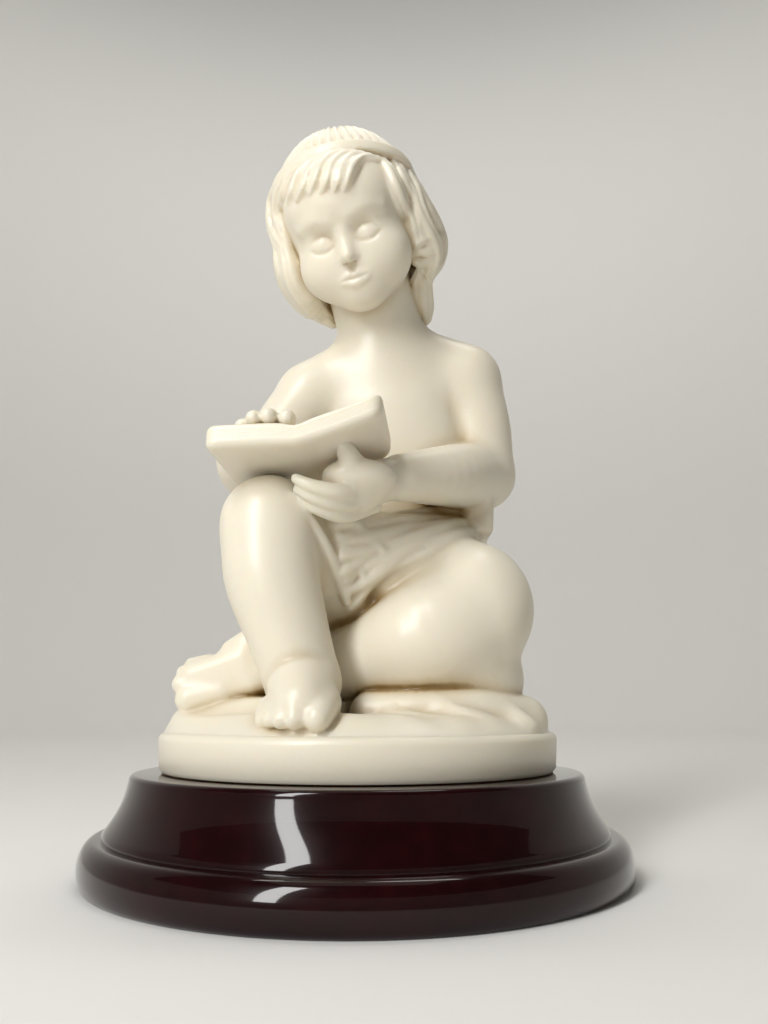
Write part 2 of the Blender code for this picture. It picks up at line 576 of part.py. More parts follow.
def book_object():
    """The open book as one extruded section, nearly level, the half by her left hand lifted."""
    right_cover, right_pages = book_half(1, BOOK_RIGHT_RISE)
    left_cover, left_pages = book_half(-1, BOOK_LEFT_RISE)
    outline = list(reversed(left_cover)) + right_cover[1:] + list(reversed(right_pages)) + left_pages[1:]
    bm = bmesh.new()
    corners = [bm.verts.new((x, 0.0, z)) for x, z in outline]
    face = bm.faces.new(corners)
    grown = bmesh.ops.extrude_face_region(bm, geom=[face])
    moved = [item for item in grown["geom"] if isinstance(item, bmesh.types.BMVert)]
    bmesh.ops.translate(bm, verts=moved, vec=(0.0, BOOK_LENGTH, 0.0))
    bmesh.ops.recalc_face_normals(bm, faces=bm.faces)
    mesh = bpy.data.meshes.new("book_form")
    bm.to_mesh(mesh)
    bm.free()
    made = add_object("book_form", mesh)
    made.location = on_figure((-12.4, -45.2, 57.4))
    made.rotation_euler = Euler((math.radians(-2.6), 0.0, math.radians(-5)))
    return made


def unite(target, cutter):
    cutter.hide_render = True
    cutter.display_type = "WIRE"
    union = target.modifiers.new("With " + cutter.name, "BOOLEAN")
    union.operation = "UNION"
    union.solver = "EXACT"
    union.object = cutter


def alabaster_figure():
    """Girl, drapery, ground and disc, all cast as one."""
    bm = bmesh.new()
    for mesh in (body_mesh(), head_mesh(), hair_mesh(), cloth_and_hands_mesh(), mound_mesh()):
        bm.from_mesh(mesh)
    mesh = bpy.data.meshes.new("figure_skin")
    bm.to_mesh(mesh)
    bm.free()
    mesh = one_skin(mesh, DETAIL_VOXEL, 2)
    whole = add_object("alabaster_figure", mesh)
    thin = whole.modifiers.new("Facets", "DECIMATE")
    thin.ratio = min(1.0, FIGURE_TRIANGLES / (2.0 * len(mesh.polygons)))
    unite(whole, book_object())
    unite(whole, disc_object())
    return whole


def main():
    clear_scene()
    figure = alabaster_figure()
    base = base_object()
    figure.data.materials.append(material("alabaster", ALABASTER_COLOUR, 0.38))
    base.data.materials.append(material("dark_wood", WOOD_COLOUR, 0.12))
    for made in (figure, base):
        made.data.shade_smooth()
        made.data.set_sharp_from_angle(angle=math.radians(40))


main()
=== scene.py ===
# Alabaster girl figurine on its turned wood base: fine surfaces, finishes, studio and camera
import math

import bmesh
import bpy
import numpy as np
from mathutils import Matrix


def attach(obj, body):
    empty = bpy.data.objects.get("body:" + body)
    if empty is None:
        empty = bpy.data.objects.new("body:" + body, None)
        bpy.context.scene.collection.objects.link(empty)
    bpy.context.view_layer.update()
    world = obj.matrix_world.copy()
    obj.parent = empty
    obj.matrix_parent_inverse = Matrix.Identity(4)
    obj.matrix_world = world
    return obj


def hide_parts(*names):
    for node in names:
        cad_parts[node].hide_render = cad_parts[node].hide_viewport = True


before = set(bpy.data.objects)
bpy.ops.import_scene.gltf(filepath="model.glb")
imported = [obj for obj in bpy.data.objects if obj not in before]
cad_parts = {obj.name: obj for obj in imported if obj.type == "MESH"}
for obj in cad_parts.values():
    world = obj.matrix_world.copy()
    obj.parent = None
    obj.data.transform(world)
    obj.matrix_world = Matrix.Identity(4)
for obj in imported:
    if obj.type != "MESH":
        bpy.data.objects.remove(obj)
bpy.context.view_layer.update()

import openvdb
from mathutils import Matrix, Vector

millimetre = 0.001

# Heights on the whole object, in millimetres
levels = {"baseTop": 22.0, "seatGap": 0.3, "discHeight": 8.5}
ground = levels["baseTop"] + levels["seatGap"] + levels["discHeight"]


# Shader maths: a socket that adds its own nodes when it is used in a sum
class Wire:
    def __init__(self, tree, socket=None):
        self.tree = tree
        self.socket = socket

    def feed(self, socket, value):
        if isinstance(value, Wire):
            self.tree.links.new(value.socket, socket)
        else:
            socket.default_value = value

    # Any node: its settings come first, then its sockets, by name or by number as in i0
    def node(self, kind, settings=None, **inputs):
        made = self.tree.nodes.new(kind)
        for name, value in (settings or {}).items():
            setattr(made, name, value)
        for name, value in inputs.items():
            numbered = name[0] == "i" and name[1:].isdigit()
            self.feed(made.inputs[int(name[1:]) if numbered else name], value)
        return made

    def out(self, made, name=0):
        return Wire(self.tree, made.outputs[name])

    def sum(self, operation, first, second):
        return self.out(self.node("ShaderNodeMath", {"operation": operation}, i0=first, i1=second))

    def __add__(self, other):
        return self.sum("ADD", self, other)

    def __radd__(self, other):
        return self.sum("ADD", other, self)

    def __sub__(self, other):
        return self.sum("SUBTRACT", self, other)

    def __rsub__(self, other):
        return self.sum("SUBTRACT", other, self)

    def __mul__(self, other):
        return self.sum("MULTIPLY", self, other)

    def __rmul__(self, other):
        return self.sum("MULTIPLY", other, self)

    def place(self):
        return self.out(self.node("ShaderNodeTexCoord"), "Object")

    def noise(self, place, scale, detail):
        return self.out(self.node("ShaderNodeTexNoise", Vector=place, Scale=scale, Detail=detail))

    def clamp(self):
        return self.out(self.node("ShaderNodeClamp", Value=self))

    def blendColours(self, low, high):
        return self.out(self.node("ShaderNodeMix", {"data_type": "RGBA"}, i0=self, i6=low, i7=high), 2)


def startMaterial(name, plain):
    made = bpy.data.materials.new(name)
    made.use_nodes = True
    shader = made.node_tree.nodes["Principled BSDF"]
    for socket, value in plain.items():
        shader.inputs[socket].default_value = value
    return made, Wire(made.node_tree), shader


def plugIn(wire, shader, name):
    wire.tree.links.new(wire.socket, shader.inputs[name])


# ivory is the stone's own colour; amber and umber are painted shade, laid into the hollows by the hollow
# attribute
alabasterLook = {
    "ivory": (0.80, 0.745, 0.615, 1.0),
    "shadeAmber": (0.50, 0.375, 0.19, 1.0),
    "deepShadeUmber": (0.24, 0.145, 0.045, 1.0),
    "deepShadeFrom": 0.62, "deepShadeGain": 2.6,
    "cloudScale": 45.0, "cloudTint": 0.14, "cloudSheen": 0.10,
    "grainScale": 900.0, "grainStrength": 0.12, "grainDepth": 0.0002,
    "roughness": 0.36,
    "plain": {"IOR": 1.52, "Subsurface Weight": 0.30, "Subsurface Scale": 1.0,
              "Subsurface Radius": (0.0050, 0.0034, 0.0018)},
}


def alabasterMaterial():
    look = alabasterLook
    made, start, shader = startMaterial("ivoryAlabaster", look["plain"])
    place = start.place()
    hollow = start.out(start.node("ShaderNodeAttribute", {"attribute_name": "hollow"}), "Fac")
    cloud = start.noise(place, look["cloudScale"], 3.0)
    grain = start.noise(place, look["grainScale"], 2.0)
    # Painted shade: the hollow attribute darkens the base colour from ivory to amber and, in the deepest
    # hollows, to umber
    depth = hollow + (cloud - 0.5) * look["cloudTint"]
    shadedIvory = depth.clamp().blendColours(look["ivory"], look["shadeAmber"])
    deepShadeShare = ((depth - look["deepShadeFrom"]) * look["deepShadeGain"]).clamp()
    plugIn(deepShadeShare.blendColours(shadedIvory, look["deepShadeUmber"]), shader, "Base Color")
    plugIn((cloud - 0.5) * look["cloudSheen"] + look["roughness"], shader, "Roughness")
    bump = start.node("ShaderNodeBump", Strength=look["grainStrength"], Distance=look["grainDepth"],
                      Height=grain)
    plugIn(start.out(bump), shader, "Normal")
    return made


woodLook = {
    "stain": (0.0090, 0.0006, 0.0011, 1.0),
    "warmStain": (0.022, 0.0016, 0.0026, 1.0),
    "grainStretch": (1.0, 0.12, 1.0), "grainScale": 260.0, "grainMiddle": 0.42, "grainGain": 1.6,
    "cloudScale": 30.0, "cloudGain": 0.8,
    "roughness": 0.24, "grainSheen": 0.08,
    "plain": {"Specular IOR Level": 0.05, "Coat Weight": 1.0, "Coat Roughness": 0.05, "Coat IOR": 1.34},
}


def woodMaterial():
    look = woodLook
    made, start, shader = startMaterial("darkStainedWood", look["plain"])
    place = start.place()
    stretched = start.out(start.node("ShaderNodeMapping", Vector=place, Scale=look["grainStretch"]))
    grain = start.noise(stretched, look["grainScale"], 5.0)
    cloud = start.noise(place, look["cloudScale"], 2.0)
    share = ((grain - look["grainMiddle"]) * look["grainGain"] + (cloud - 0.5) * look["cloudGain"]).clamp()
    plugIn(share.blendColours(look["stain"], look["warmStain"]), shader, "Base Color")
    plugIn((grain - 0.5) * look["grainSheen"] + look["roughness"], shader, "Roughness")
    return made


# Clay: a grid of distances in millimetres, negative inside, with finer cells round the head
clayBlock = {
    "low": (-50.0, -51.0, -3.0),
    "high": (50.0, 48.0, 157.0),
    "fineLow": (-30.0, -42.0, 100.0),
    "fineHigh": (26.0, 14.0, 157.0),
    "coarseCell": (0.62, 0.62, 0.62),
    "fineCell": (0.42, 0.42, 0.37),
    "quickGrow": 1.9,
    "far": 8.0,  # the distance held where nothing is near
    "margin": 1.6,  # how far past its blend a form is worked out
}


def gridLine(axis):
    grow = 1.0
    names = ("low", "high", "fineLow", "fineHigh", "coarseCell", "fineCell")
    low, high, fineLow, fineHigh, coarse, fine = [clayBlock[name][axis] for name in names]
    places = [low]
    while places[-1] < high:
        inFine = fineLow <= places[-1] < fineHigh
        places.append(places[-1] + (fine if inFine else coarse) * grow)
    return np.array(places, np.float32)


gridLines = [gridLine(axis) for axis in range(3)]


def smoothLow(first, second, blend):
    near = np.maximum(blend - np.abs(first - second), 0.0) / blend
    return np.minimum(first, second) - near * near * blend * 0.25


def smoothPath(knots, steps=6):
    knots = np.array(knots, float)
    if len(knots) < 3:
        return knots
    ends = np.vstack([2 * knots[0] - knots[1], knots, 2 * knots[-1] - knots[-2]])
    made = []
    for index in range(len(knots) - 1):
        a, b, c, d = ends[index:index + 4]
        for step in range(steps):
            t = step / steps
            made.append(0.5 * (2 * b + (c - a) * t + (2 * a - 5 * b + 4 * c - d) * t * t
                               + (3 * b - a - 3 * c + d) * t ** 3))
    made.append(knots[-1])
    return np.array(made)


# The part of the grid's lines between two corners
def cutOut(lines, low, high):
    cut = tuple(slice(*np.searchsorted(line, (a, b))) for line, a, b in zip(lines, low, high))
    return cut, [line[part] for line, part in zip(lines, cut)]


def spread(lines):
    x, y, z = lines
    return x[:, None, None], y[None, :, None], z[None, None, :]


def dot(way, places):
    return sum(part * place for part, place in zip(way, places))


# How far each place lies outside an ellipsoid, true close to its skin
def ellipsoidGap(local, radii):
    near = np.sqrt(sum((value / radius) ** 2 for value, radius in zip(local, radii)))
    steep = np.sqrt(sum((value / radius ** 2) ** 2 for value, radius in zip(local, radii))) + 1e-6
    return near * (near - 1.0) / steep


class Clay:
    def __init__(self, low=clayBlock["low"], high=clayBlock["high"]):
        self.cut, self.lines = cutOut(gridLines, low, high)
        self.field = np.full([len(line) for line in self.lines], clayBlock["far"], np.float32)

    def window(self, low, high, margin):
        cut, lines = cutOut(self.lines, [a - margin for a in low], [b + margin for b in high])
        return cut, spread(lines)

    # The cells within reach of a centre, with their places seen along turned axes
    def around(self, centre, reach, margin, turn):
        centre = np.array(centre, float)
        cut, places = self.window(centre - reach, centre + reach, margin)
        steps = [place - middle for place, middle in zip(places, centre)]
        if turn is None:
            return cut, steps
        return cut, [dot(way, steps) for way in np.array(turn).T]

    def put(self, cut, distance, blend, carve=False):
        if carve:
            self.field[cut] = -smoothLow(-self.field[cut], distance, blend)
        else:
            self.field[cut] = smoothLow(self.field[cut], distance, blend)

    # A tapered round form along a smooth path of (x, y, z, radius), with strands cut along it if asked
    def tube(self, knots, blend=1.0, strands=0, groove=0.0, twist=0.0, carve=False):
        path = smoothPath(knots)
        reach = path[:, 3].max()
        margin = blend + clayBlock["margin"]
        cut, lines = cutOut(self.lines, path[:, :3].min(0) - reach - margin,
                            path[:, :3].max(0) + reach + margin)
        if min(len(line) for line in lines) == 0:
            return
        whole = np.full([len(line) for line in lines], clayBlock["far"] + 1.0, np.float32)
        side = None
        total = len(path) - 1
        for index in range(total):
            a, b = path[index], path[index + 1]
            along = b[:3] - a[:3]
            length = math.sqrt(along @ along) + 1e-6
            forward = along / length
            if side is None:
                side = np.cross(forward, (0.0, 0.0, 1.0) if abs(forward[2]) < 0.9 else (1.0, 0.0, 0.0))
            side = side - forward * (side @ forward)
            side = side / math.sqrt(side @ side)
            other = np.cross(forward, side)
            wide = max(a[3], b[3]) + margin
            part, pieces = cutOut(lines, np.minimum(a[:3], b[:3]) - wide, np.maximum(a[:3], b[:3]) + wide)
            if min(len(line) for line in pieces) == 0:
                continue
            steps = [line - start for line, start in zip(spread(pieces), a)]
            share = np.clip(dot(along, steps) / length ** 2, 0.0, 1.0)
            out = [step - share * size for step, size in zip(steps, along)]
            gap = np.sqrt(dot(out, out)) - (a[3] + share * (b[3] - a[3]))
            if strands:
                turn = twist * (index + share) / total
                angle = np.arctan2(dot(other, out), dot(side, out)) * strands + turn * strands
                gap = gap + groove * (0.5 - 0.5 * np.cos(angle)) ** 3
            whole[part] = np.minimum(whole[part], gap)
        self.put(cut, whole, blend, carve)

    def tubes(self, paths, blend):
        for path in paths:
            self.tube(path, blend)

    # An ellipsoid, turned by a 3 x 3 matrix if one is given
    def ball(self, centre, radii, blend=1.0, turn=None, carve=False):
        cut, local = self.around(centre, max(radii), blend + clayBlock["margin"], turn)
        self.put(cut, ellipsoidGap(local, radii), blend, carve)

    # A box with rounded edges, turned by a 3 x 3 matrix
    def block(self, centre, half, rounding, blend, turn):
        reach = math.sqrt(sum(size * size for size in half))
        cut, local = self.around(centre, reach, blend + clayBlock["margin"], turn)
        over = [np.abs(value) - (size - rounding) for value, size in zip(local, half)]
        outside = np.sqrt(sum(np.maximum(value, 0.0) ** 2 for value in over))
        inside = np.minimum(np.maximum(np.maximum(over[0], over[1]), over[2]), 0.0)
        self.put(cut, outside + inside - rounding, blend)

    def join(self, other, blend):
        cut = tuple(slice(part.start - own.start, part.stop - own.start)
                    for part, own in zip(other.cut, self.cut))
        self.put(cut, other.field, blend)


# Her body, in tubes of (x, y, z, radius) with their blend, in millimetres above the top of the disc
girlBody = {
    "torso": (
        ((9, 18, 20), (27, 19, 21), 4),
        ((8.8, 12, 48), (23.4, 18, 19), 6),
        ((8.4, 9, 72), (22.4, 17, 22), 6),
        ((8.2, 6.4, 87), (19.6, 13.4, 13), 6),
        ((12.5, -1, 37.6), (20, 16.6, 15), 5),
        ((4, -8, 42), (12, 9.4, 10), 4),
        ((23, -9, 12), (15.6, 12, 12), 5),
    ),
    "shoulders": (((-13.6, 4, 87.4, 9.2), (-4.5, 5, 93, 9.8), (8, 5.4, 96.8, 10.4), (19, 5.8, 96.2, 10),
                   (27.8, 6, 92.8, 10)), 6),
    "neck": (((7, 6, 97, 13), (4.8, 2, 107, 11.6), (1.4, -5, 118, 11.2)), 5),
    "legs": ((
        ((-3, 14, 24, 16), (-12, -8, 36, 13.4), (-19.5, -25.5, 45, 10)),
        ((-19.6, -26, 45.5, 10), (-18.6, -27.5, 34, 10.3), (-14.5, -28, 21, 8.8), (-11, -27, 10, 8)),
        ((22, 17, 20, 16.6), (25.6, 2, 28, 15.2), (27, -9, 30.5, 13.8)),
        ((27.6, -13, 26, 12.6), (16, -15.5, 21, 12.8), (4, -13, 17, 9.5), (-10, -11, 13, 7)),
    ), 4),
    "arms": ((
        ((27.8, 6, 92.8, 10), (31, 6.5, 79, 9.5), (32, 7, 66.5, 8.8)),
        ((32, 7, 66, 8.8), (23, -9, 61.5, 7.8), (10, -22, 57.2, 5.6)),
        ((-13.6, 4, 87.4, 9.2), (-20, 0.8, 76.8, 8.6), (-25.8, -3.5, 62.8, 7.9)),
        ((-25.6, -3.5, 62.8, 7.9), (-27.6, -15, 62.6, 6.8), (-24, -27.5, 63.2, 5.2)),
    ), 2.4),
}


def carveBody():
    clay = Clay()
    for ball in girlBody["torso"]:
        clay.ball(*ball)
    clay.tube(*girlBody["shoulders"])
    clay.tube(*girlBody["neck"])
    clay.tubes(*girlBody["legs"])
    return clay


# The left foot lies on its side, built of two rounded blocks of (centre, half sizes, direction)
girlFeet = {
    "block": ((-48, -51, -3), (4, 0, 30)),
    "rightInstep": (((-11, -27, 11, 7.9), (-10.7, -34, 8.4, 6.8), (-10.4, -39, 5.8, 5.4)), 1.5),
    "rightToes": ((
        ((-6.9, -35, 6.2, 4.4), (-6.6, -40.4, 4.7, 3.3), (-6.8, -42.8, 3.4, 2.6)),
        ((-10.8, -37, 6, 3.2), (-11, -41.4, 4.4, 2.3), (-11.1, -43, 3.2, 1.9)),
        ((-13.4, -36.4, 5.8, 3), (-13.7, -40.6, 4.2, 2.1), (-13.8, -42.2, 3.1, 1.8)),
        ((-15.6, -35.4, 5.4, 2.8), (-16, -39, 4, 2), (-16.1, -40.6, 3.2, 1.6)),
        ((-17.2, -34, 5, 2.6), (-17.6, -37.4, 3.7, 1.8), (-17.7, -38.8, 3, 1.5)),
    ), 0.9),
    "ankle": (((-10, -12, 12.5, 6.4), (-18, -13.4, 14, 6.4)), 1.5),
    "heel": ((-23.4, -13, 16.2), (5.6, 4.6, 7), (-8, 1, -5.2)),
    "forefoot": ((-30.6, -14, 11.8), (8.6, 4.4, 5.6), (-20, 2, -6.4)),
    "leftToes": ((
        ((-30.6, -15, 8.4, 3.8), (-37.6, -16, 7.4, 3.2)),
        ((-34, -15.4, 10.8, 2.4), (-39.8, -15.8, 10.6, 2)),
        ((-34, -14.8, 13.2, 2.2), (-39.4, -14.8, 13, 1.8)),
        ((-34, -14.2, 15.4, 2), (-38, -13.8, 15, 1.6)),
    ), 0.6),
    "rounding": 2.6, "facing": (-0.2, -1, -0.1),
}


def axisTurn(forward, facing):
    first = forward.normalized()
    second = (facing - first * facing.dot(first)).normalized()
    third = first.cross(second)
    return Matrix((first, second, third)).transposed()


def carveFeet():
    feet = girlFeet
    clay = Clay(*feet["block"])
    clay.tube(*feet["rightInstep"])
    clay.tubes(*feet["rightToes"])
    clay.tube(*feet["ankle"])
    for part in ("heel", "forefoot"):
        centre, half, along = feet[part]
        turn = axisTurn(Vector(along), Vector(feet["facing"]))
        clay.block(centre, half, feet["rounding"], feet["rounding"], turn)
    clay.tubes(*feet["leftToes"])
    return clay


girlHands = {
    "block": ((-34, -50, 40), (18, -16, 75)),
    "leftPalm": ((9.4, -22, 57.1, 4.8), (4.4, -26, 55, 5), (0, -28, 52, 5), (-4.6, -30, 50.4, 3.6)),
    "leftMound": ((0.6, -31.4, 54.6), (8.2, 5.4, 4)),
    "leftFingers": (
        ((-0.2, -33, 56, 3), (-1.8, -35.8, 58.2, 2.3), (-2.7, -37.6, 60.2, 1.5)),
        ((5, -26.4, 52.6, 1.4), (-3, -34.4, 50.2, 1.9), (-8.8, -36.4, 50.9, 1.6), (-12.8, -36.2, 52.8, 1.1)),
        ((4.6, -24.8, 51.2, 1.4), (-3, -32.4, 48.1, 1.8), (-8.6, -34.8, 48.8, 1.5), (-12.6, -34.8, 50.8, 1)),
        ((4.2, -23.4, 49.8, 1.4), (-2.6, -30.2, 46.2, 1.7), (-8, -33, 46.8, 1.4), (-11.8, -33.2, 48.8, 1)),
    ),
    "rightPalm": ((-24, -27, 63, 4.8), (-20.6, -33, 64, 4.2)),
    "rightFingers": (
        ((-18.6, -33, 64.4, 2.4), (-15, -38.4, 65, 2.1), (-14.4, -42, 64.3, 1.8)),
        ((-20.2, -34, 64.4, 2.3), (-18.4, -39.2, 65.2, 2), (-18.2, -42.6, 64.5, 1.7)),
        ((-22.6, -34, 64, 2.2), (-21.6, -39.2, 64.9, 1.9), (-21.4, -42.2, 64.3, 1.6)),
        ((-24.6, -33, 63.2, 1.9), (-24.4, -37.4, 64, 1.7), (-24.2, -39.8, 63.4, 1.4)),
    ),
    "moundTurn": 10, "moundBlend": 2.0, "palmBlend": 1.5, "fingerBlend": 0.45,
}


def carveHands():
    hands = girlHands
    clay = Clay(*hands["block"])
    clay.tube(hands["leftPalm"], hands["palmBlend"])
    clay.ball(*hands["leftMound"], hands["moundBlend"], turnBy(hands["moundTurn"], "Z", 3))
    clay.tube(hands["rightPalm"], hands["palmBlend"])
    clay.tubes(hands["leftFingers"] + hands["rightFingers"], hands["fingerBlend"])
    return clay


# The cloth's folds, with each row of the skirt's folds as (count, phase, share of the depth)
drapery = {
    "block": ((-34, -40, -3), (50, 48, 62)),
    "skirt": {"centre": (10, 19, 22), "radii": (28, 19, 27), "spread": 0.05, "sway": 0.10,
              "steepness": 19, "depths": (0.35, 0.75), "deepening": (48, 40),
              "folds": ((12, 0.0, 0.9), (19, 1.3, 0.5), (31, 0.0, 0.25))},
    "lapTop": ((-5.4, 48), (0.4, 49.4), (9.8, 52), (19.6, 54.2), (28.6, 56.2), (32, 57)),
    "lapHem": ((-1.8, 28.6), (3.4, 33), (11.6, 38.6), (19.4, 43.1), (27.1, 46.6), (32.8, 48.6)),
    "lapFolds": 9, "lapFoldRadius": 1.9,
    "waistBehind": ((
        ((29.5, 7, 53, 4), (28, 18, 52, 4), (18, 26, 51, 4.4), (6, 29, 50.5, 4.6), (-6, 25.5, 50, 4.4),
         (-13, 14, 50.5, 4.2), (-12, -4, 51.5, 3.6)),
        ((29, 12, 46, 3.6), (20, 27, 45.5, 4), (6, 31, 44.5, 4.2), (-8, 26.5, 44, 4), (-14, 14, 44.5, 3.6)),
    ), 1.8),
    "sashEnd": ((29.6, 2.2, 52.8), (4.4, 4.6, 4.3), 1.2, 1.5), "sashTurn": 4,
    "kneeCloth": ((
        ((-13, -22, 46, 5.5), (-7.5, -17.5, 39, 6.5), (-2.5, -12.5, 31.5, 5.5)),
        ((-5, -19, 48, 5), (1.5, -14, 41, 6.5), (5.5, -11, 36, 6)),
    ), 3.0),
    "kneeRidges": (
        ((-14, 49.5), (-10.4, 45.4), (-6.8, 39.6), (-4.2, 34), (-2.4, 28.8)),
        ((-8.4, 49), (-4.8, 43.8), (-1.6, 38.6), (1.2, 34.8)),
        ((-3, 48.6), (1, 44.4), (5.6, 40.6)),
    ),
    "ridgeRadius": 1.5,
    "ground": ((
        ((3, -18, 4.4, 4.6), (14, -20, 4.2, 5.4), (26, -19, 3.6, 6), (35.6, -14, 2.4, 5.6),
         (39, -8, 1.6, 4.6)),
        ((38, -12, 3, 4.6), (39.6, 0, 2.8, 4.6), (36.6, 16, 2.8, 5)),
    ), 2.5),
    "groundCloth": {"middle": (21.0, -13.0), "reach": (21.0, 18.5), "tuck": (-4.0, -12.0), "height": 9.2,
                    "fall": 0.009, "folds": 21, "foldDepth": 1.45, "foldFrom": 20, "rimWave": 0.04},
    "foldBlend": 0.5,
}


# The skirt behind her: full at the seat, falling to the ground in shallow folds
def carveSkirt(clay):
    skirt = drapery["skirt"]
    (cx, cy, cz), (rx, ry, rz) = skirt["centre"], skirt["radii"]
    cut, (x, y, z) = clay.window((cx - rx - 4, cy - ry - 4, -3), (cx + rx + 4, cy + ry + 4, cz + rz), 3)
    dx, dy = (x - cx) / rx, (y - cy) / ry
    around = np.arctan2(dx, dy)
    above = np.clip((z - cz) / rz, 0.0, 1.0)
    below = np.clip((cz - z) / cz, 0.0, 1.0)
    reach = np.sqrt(1.0 - above ** 2) + skirt["spread"] * below ** 2
    (least, added), (start, fall) = skirt["depths"], skirt["deepening"]
    depth = least + added * np.clip((start - z) / fall, 0.0, 1.0)
    slide = around + skirt["sway"] * np.sin(z * 0.11 + 2 * around)
    fold = sum(np.sin(count * slide + phase) * share for count, phase, share in skirt["folds"])
    field = (np.sqrt(dx ** 2 + dy ** 2) - reach) * skirt["steepness"] - depth * fold
    clay.put(cut, np.maximum(field, z - cz - rz), 2.0)


def flatPath(knots):
    return smoothPath([(*knot, 0, 0) for knot in knots], 3)[:, :2]


# The y of the clay's front at each (x, z), looked for from the viewer's side
def frontOf(clay, x, z):
    column = clay.field[np.abs(clay.lines[0] - x).argmin(), :, np.abs(clay.lines[2] - z).argmin()]
    inside = np.flatnonzero(column < 0)
    if len(inside) == 0:
        return clay.lines[1][column.argmin()]
    first = max(1, inside[0])
    before, after = column[first - 1], column[first]
    share = before / (before - after + 1e-6)
    return clay.lines[1][first - 1] + share * (clay.lines[1][first] - clay.lines[1][first - 1])


# Folds laid over the lap, from its upper edge to the hem
def lapFolds(clay):
    cloth = drapery
    top, hem = flatPath(cloth["lapTop"]), flatPath(cloth["lapHem"])
    count = cloth["lapFolds"]
    for index in range(count):
        share = index / (count - 1)
        radius = cloth["lapFoldRadius"] * (0.62 if index in (0, count - 1) else 1.0)
        fold = []
        for step, ((topX, topZ), (hemX, hemZ)) in enumerate(zip(top, hem)):
            x = topX + (hemX - topX) * share
            z = topZ + (hemZ - topZ) * share + 0.5 * math.sin(step * 0.9 + index * 2.1)
            size = radius * (0.8 + 0.2 * math.sin(step * 0.7 + index * 1.7))
            fold.append((x, frontOf(clay, x, z) + 0.10 * size, z, size))
        middle = [knot[1] for knot in fold]
        for step in range(1, len(fold) - 1):
            fold[step] = (fold[step][0], sum(middle[step - 1:step + 2]) / 3, *fold[step][2:])
        yield fold


# Low ridges laid on the cloth between her knees
def kneeRidges(clay):
    radius = drapery["ridgeRadius"]
    for ridge in drapery["kneeRidges"]:
        path = flatPath(ridge)
        middle = [frontOf(clay, x, z) for x, z in path]
        count = len(path) - 1
        knots = []
        for step, (x, z) in enumerate(path):
            near = middle[max(0, step - 2):step + 3]
            size = radius * (0.45 + 0.55 * math.sin(math.pi * (0.12 + 0.76 * step / count)))
            knots.append((x, sum(near) / len(near) + 0.35 * size, z, size))
        yield knots


# The cloth that spills over the ground beside her, in folds that fan out from under the shin
def carveGroundCloth(clay):
    cloth = drapery["groundCloth"]
    (cx, cy), (rx, ry), (tuckX, tuckY) = cloth["middle"], cloth["reach"], cloth["tuck"]
    cut, (x, y, z) = clay.window((cx - rx, cy - ry, -3), (cx + rx, cy + ry, cloth["height"] + 4), 2)
    dx, dy = (x - cx) / rx, (y - cy) / ry
    fan = np.arctan2(y - tuckY, x - tuckX)
    reach = np.sqrt((x - tuckX) ** 2 + (y - tuckY) ** 2)
    folds = cloth["folds"]
    rim = 1.0 + cloth["rimWave"] * np.sin(folds * fan)
    rise = np.clip(rim - dx * dx - dy * dy, 0.0, 1.0) ** 0.42
    fold = np.sin(folds * fan + 0.7 * np.sin(reach * 0.17))
    fold = fold + 0.35 * np.sin(1.7 * folds * fan + reach * 0.1)
    height = cloth["height"] * rise * (1.0 - cloth["fall"] * reach)
    height = height + cloth["foldDepth"] * fold * np.clip(reach / cloth["foldFrom"], 0.0, 1.0) * rise
    outside = (np.sqrt(dx * dx + dy * dy) - 1.0) * ry
    clay.put(cut, np.maximum((z - height) * 0.7, outside), 1.2)


def carveDrapery(body):
    cloth = drapery
    body.tubes(*cloth["kneeCloth"])
    folds = list(lapFolds(body)) + list(kneeRidges(body))
    clay = Clay(*cloth["block"])
    carveSkirt(clay)
    clay.tubes(*cloth["waistBehind"])
    clay.block(*cloth["sashEnd"], turnBy(cloth["sashTurn"], "Y", 3))
    clay.tubes(*cloth["ground"])
    carveGroundCloth(clay)
    clay.tubes(folds, cloth["foldBlend"])
    return clay


roughGround = {
    "block": ((-50, -51, -3), (50, 48, 8)),
    "reach": 45.6, "height": 3.9, "sunk": 0.6, "slope": 8.0, "leftSlope": 3.0,
    "runs": ((
        ((-38, -14, 2.4, 3), (-28, -17, 3.2, 4), (-16, -20, 3.4, 5)),
        ((-33, -13, 2.4, 4), (-24, -13, 3.4, 5.5), (-14, -14, 2.5, 5.5)),
    ), 2.5),
}


def carveGround():
    rough = roughGround
    clay = Clay(*rough["block"])
    cut, (x, y, z) = clay.window(*rough["block"], 0)
    angle = np.arctan2(y, x)
    uneven = 1.0 - 0.010 * (1 + np.sin(3 * angle + 0.7)) - 0.008 * (1 + np.sin(7 * angle))
    inward = rough["reach"] * uneven - np.sqrt(x * x + y * y)
    leftward = np.clip(-np.cos(angle + 0.15) * 1.6 - 0.4, 0.0, 1.0)
    slope = rough["slope"] + (rough["leftSlope"] - rough["slope"]) * leftward
    rise = np.clip(inward / slope, 0.0, 1.0)
    rise = np.sin(rise * math.pi * 0.5) ** 0.8
    swell = 0.35 * np.sin(x * 0.21 + 1.0) * np.cos(y * 0.17) + 0.20 * np.sin(x * 0.5 + y * 0.43)
    height = -rough["sunk"] + rise * (rough["height"] + rough["sunk"] + swell)
    clay.put(cut, np.maximum((z - height) * 0.8, -inward), 1.0)
    clay.tubes(*rough["runs"])
    return clay


def turnBy(degrees, axis, size=4):
    return Matrix.Rotation(math.radians(degrees), size, axis)


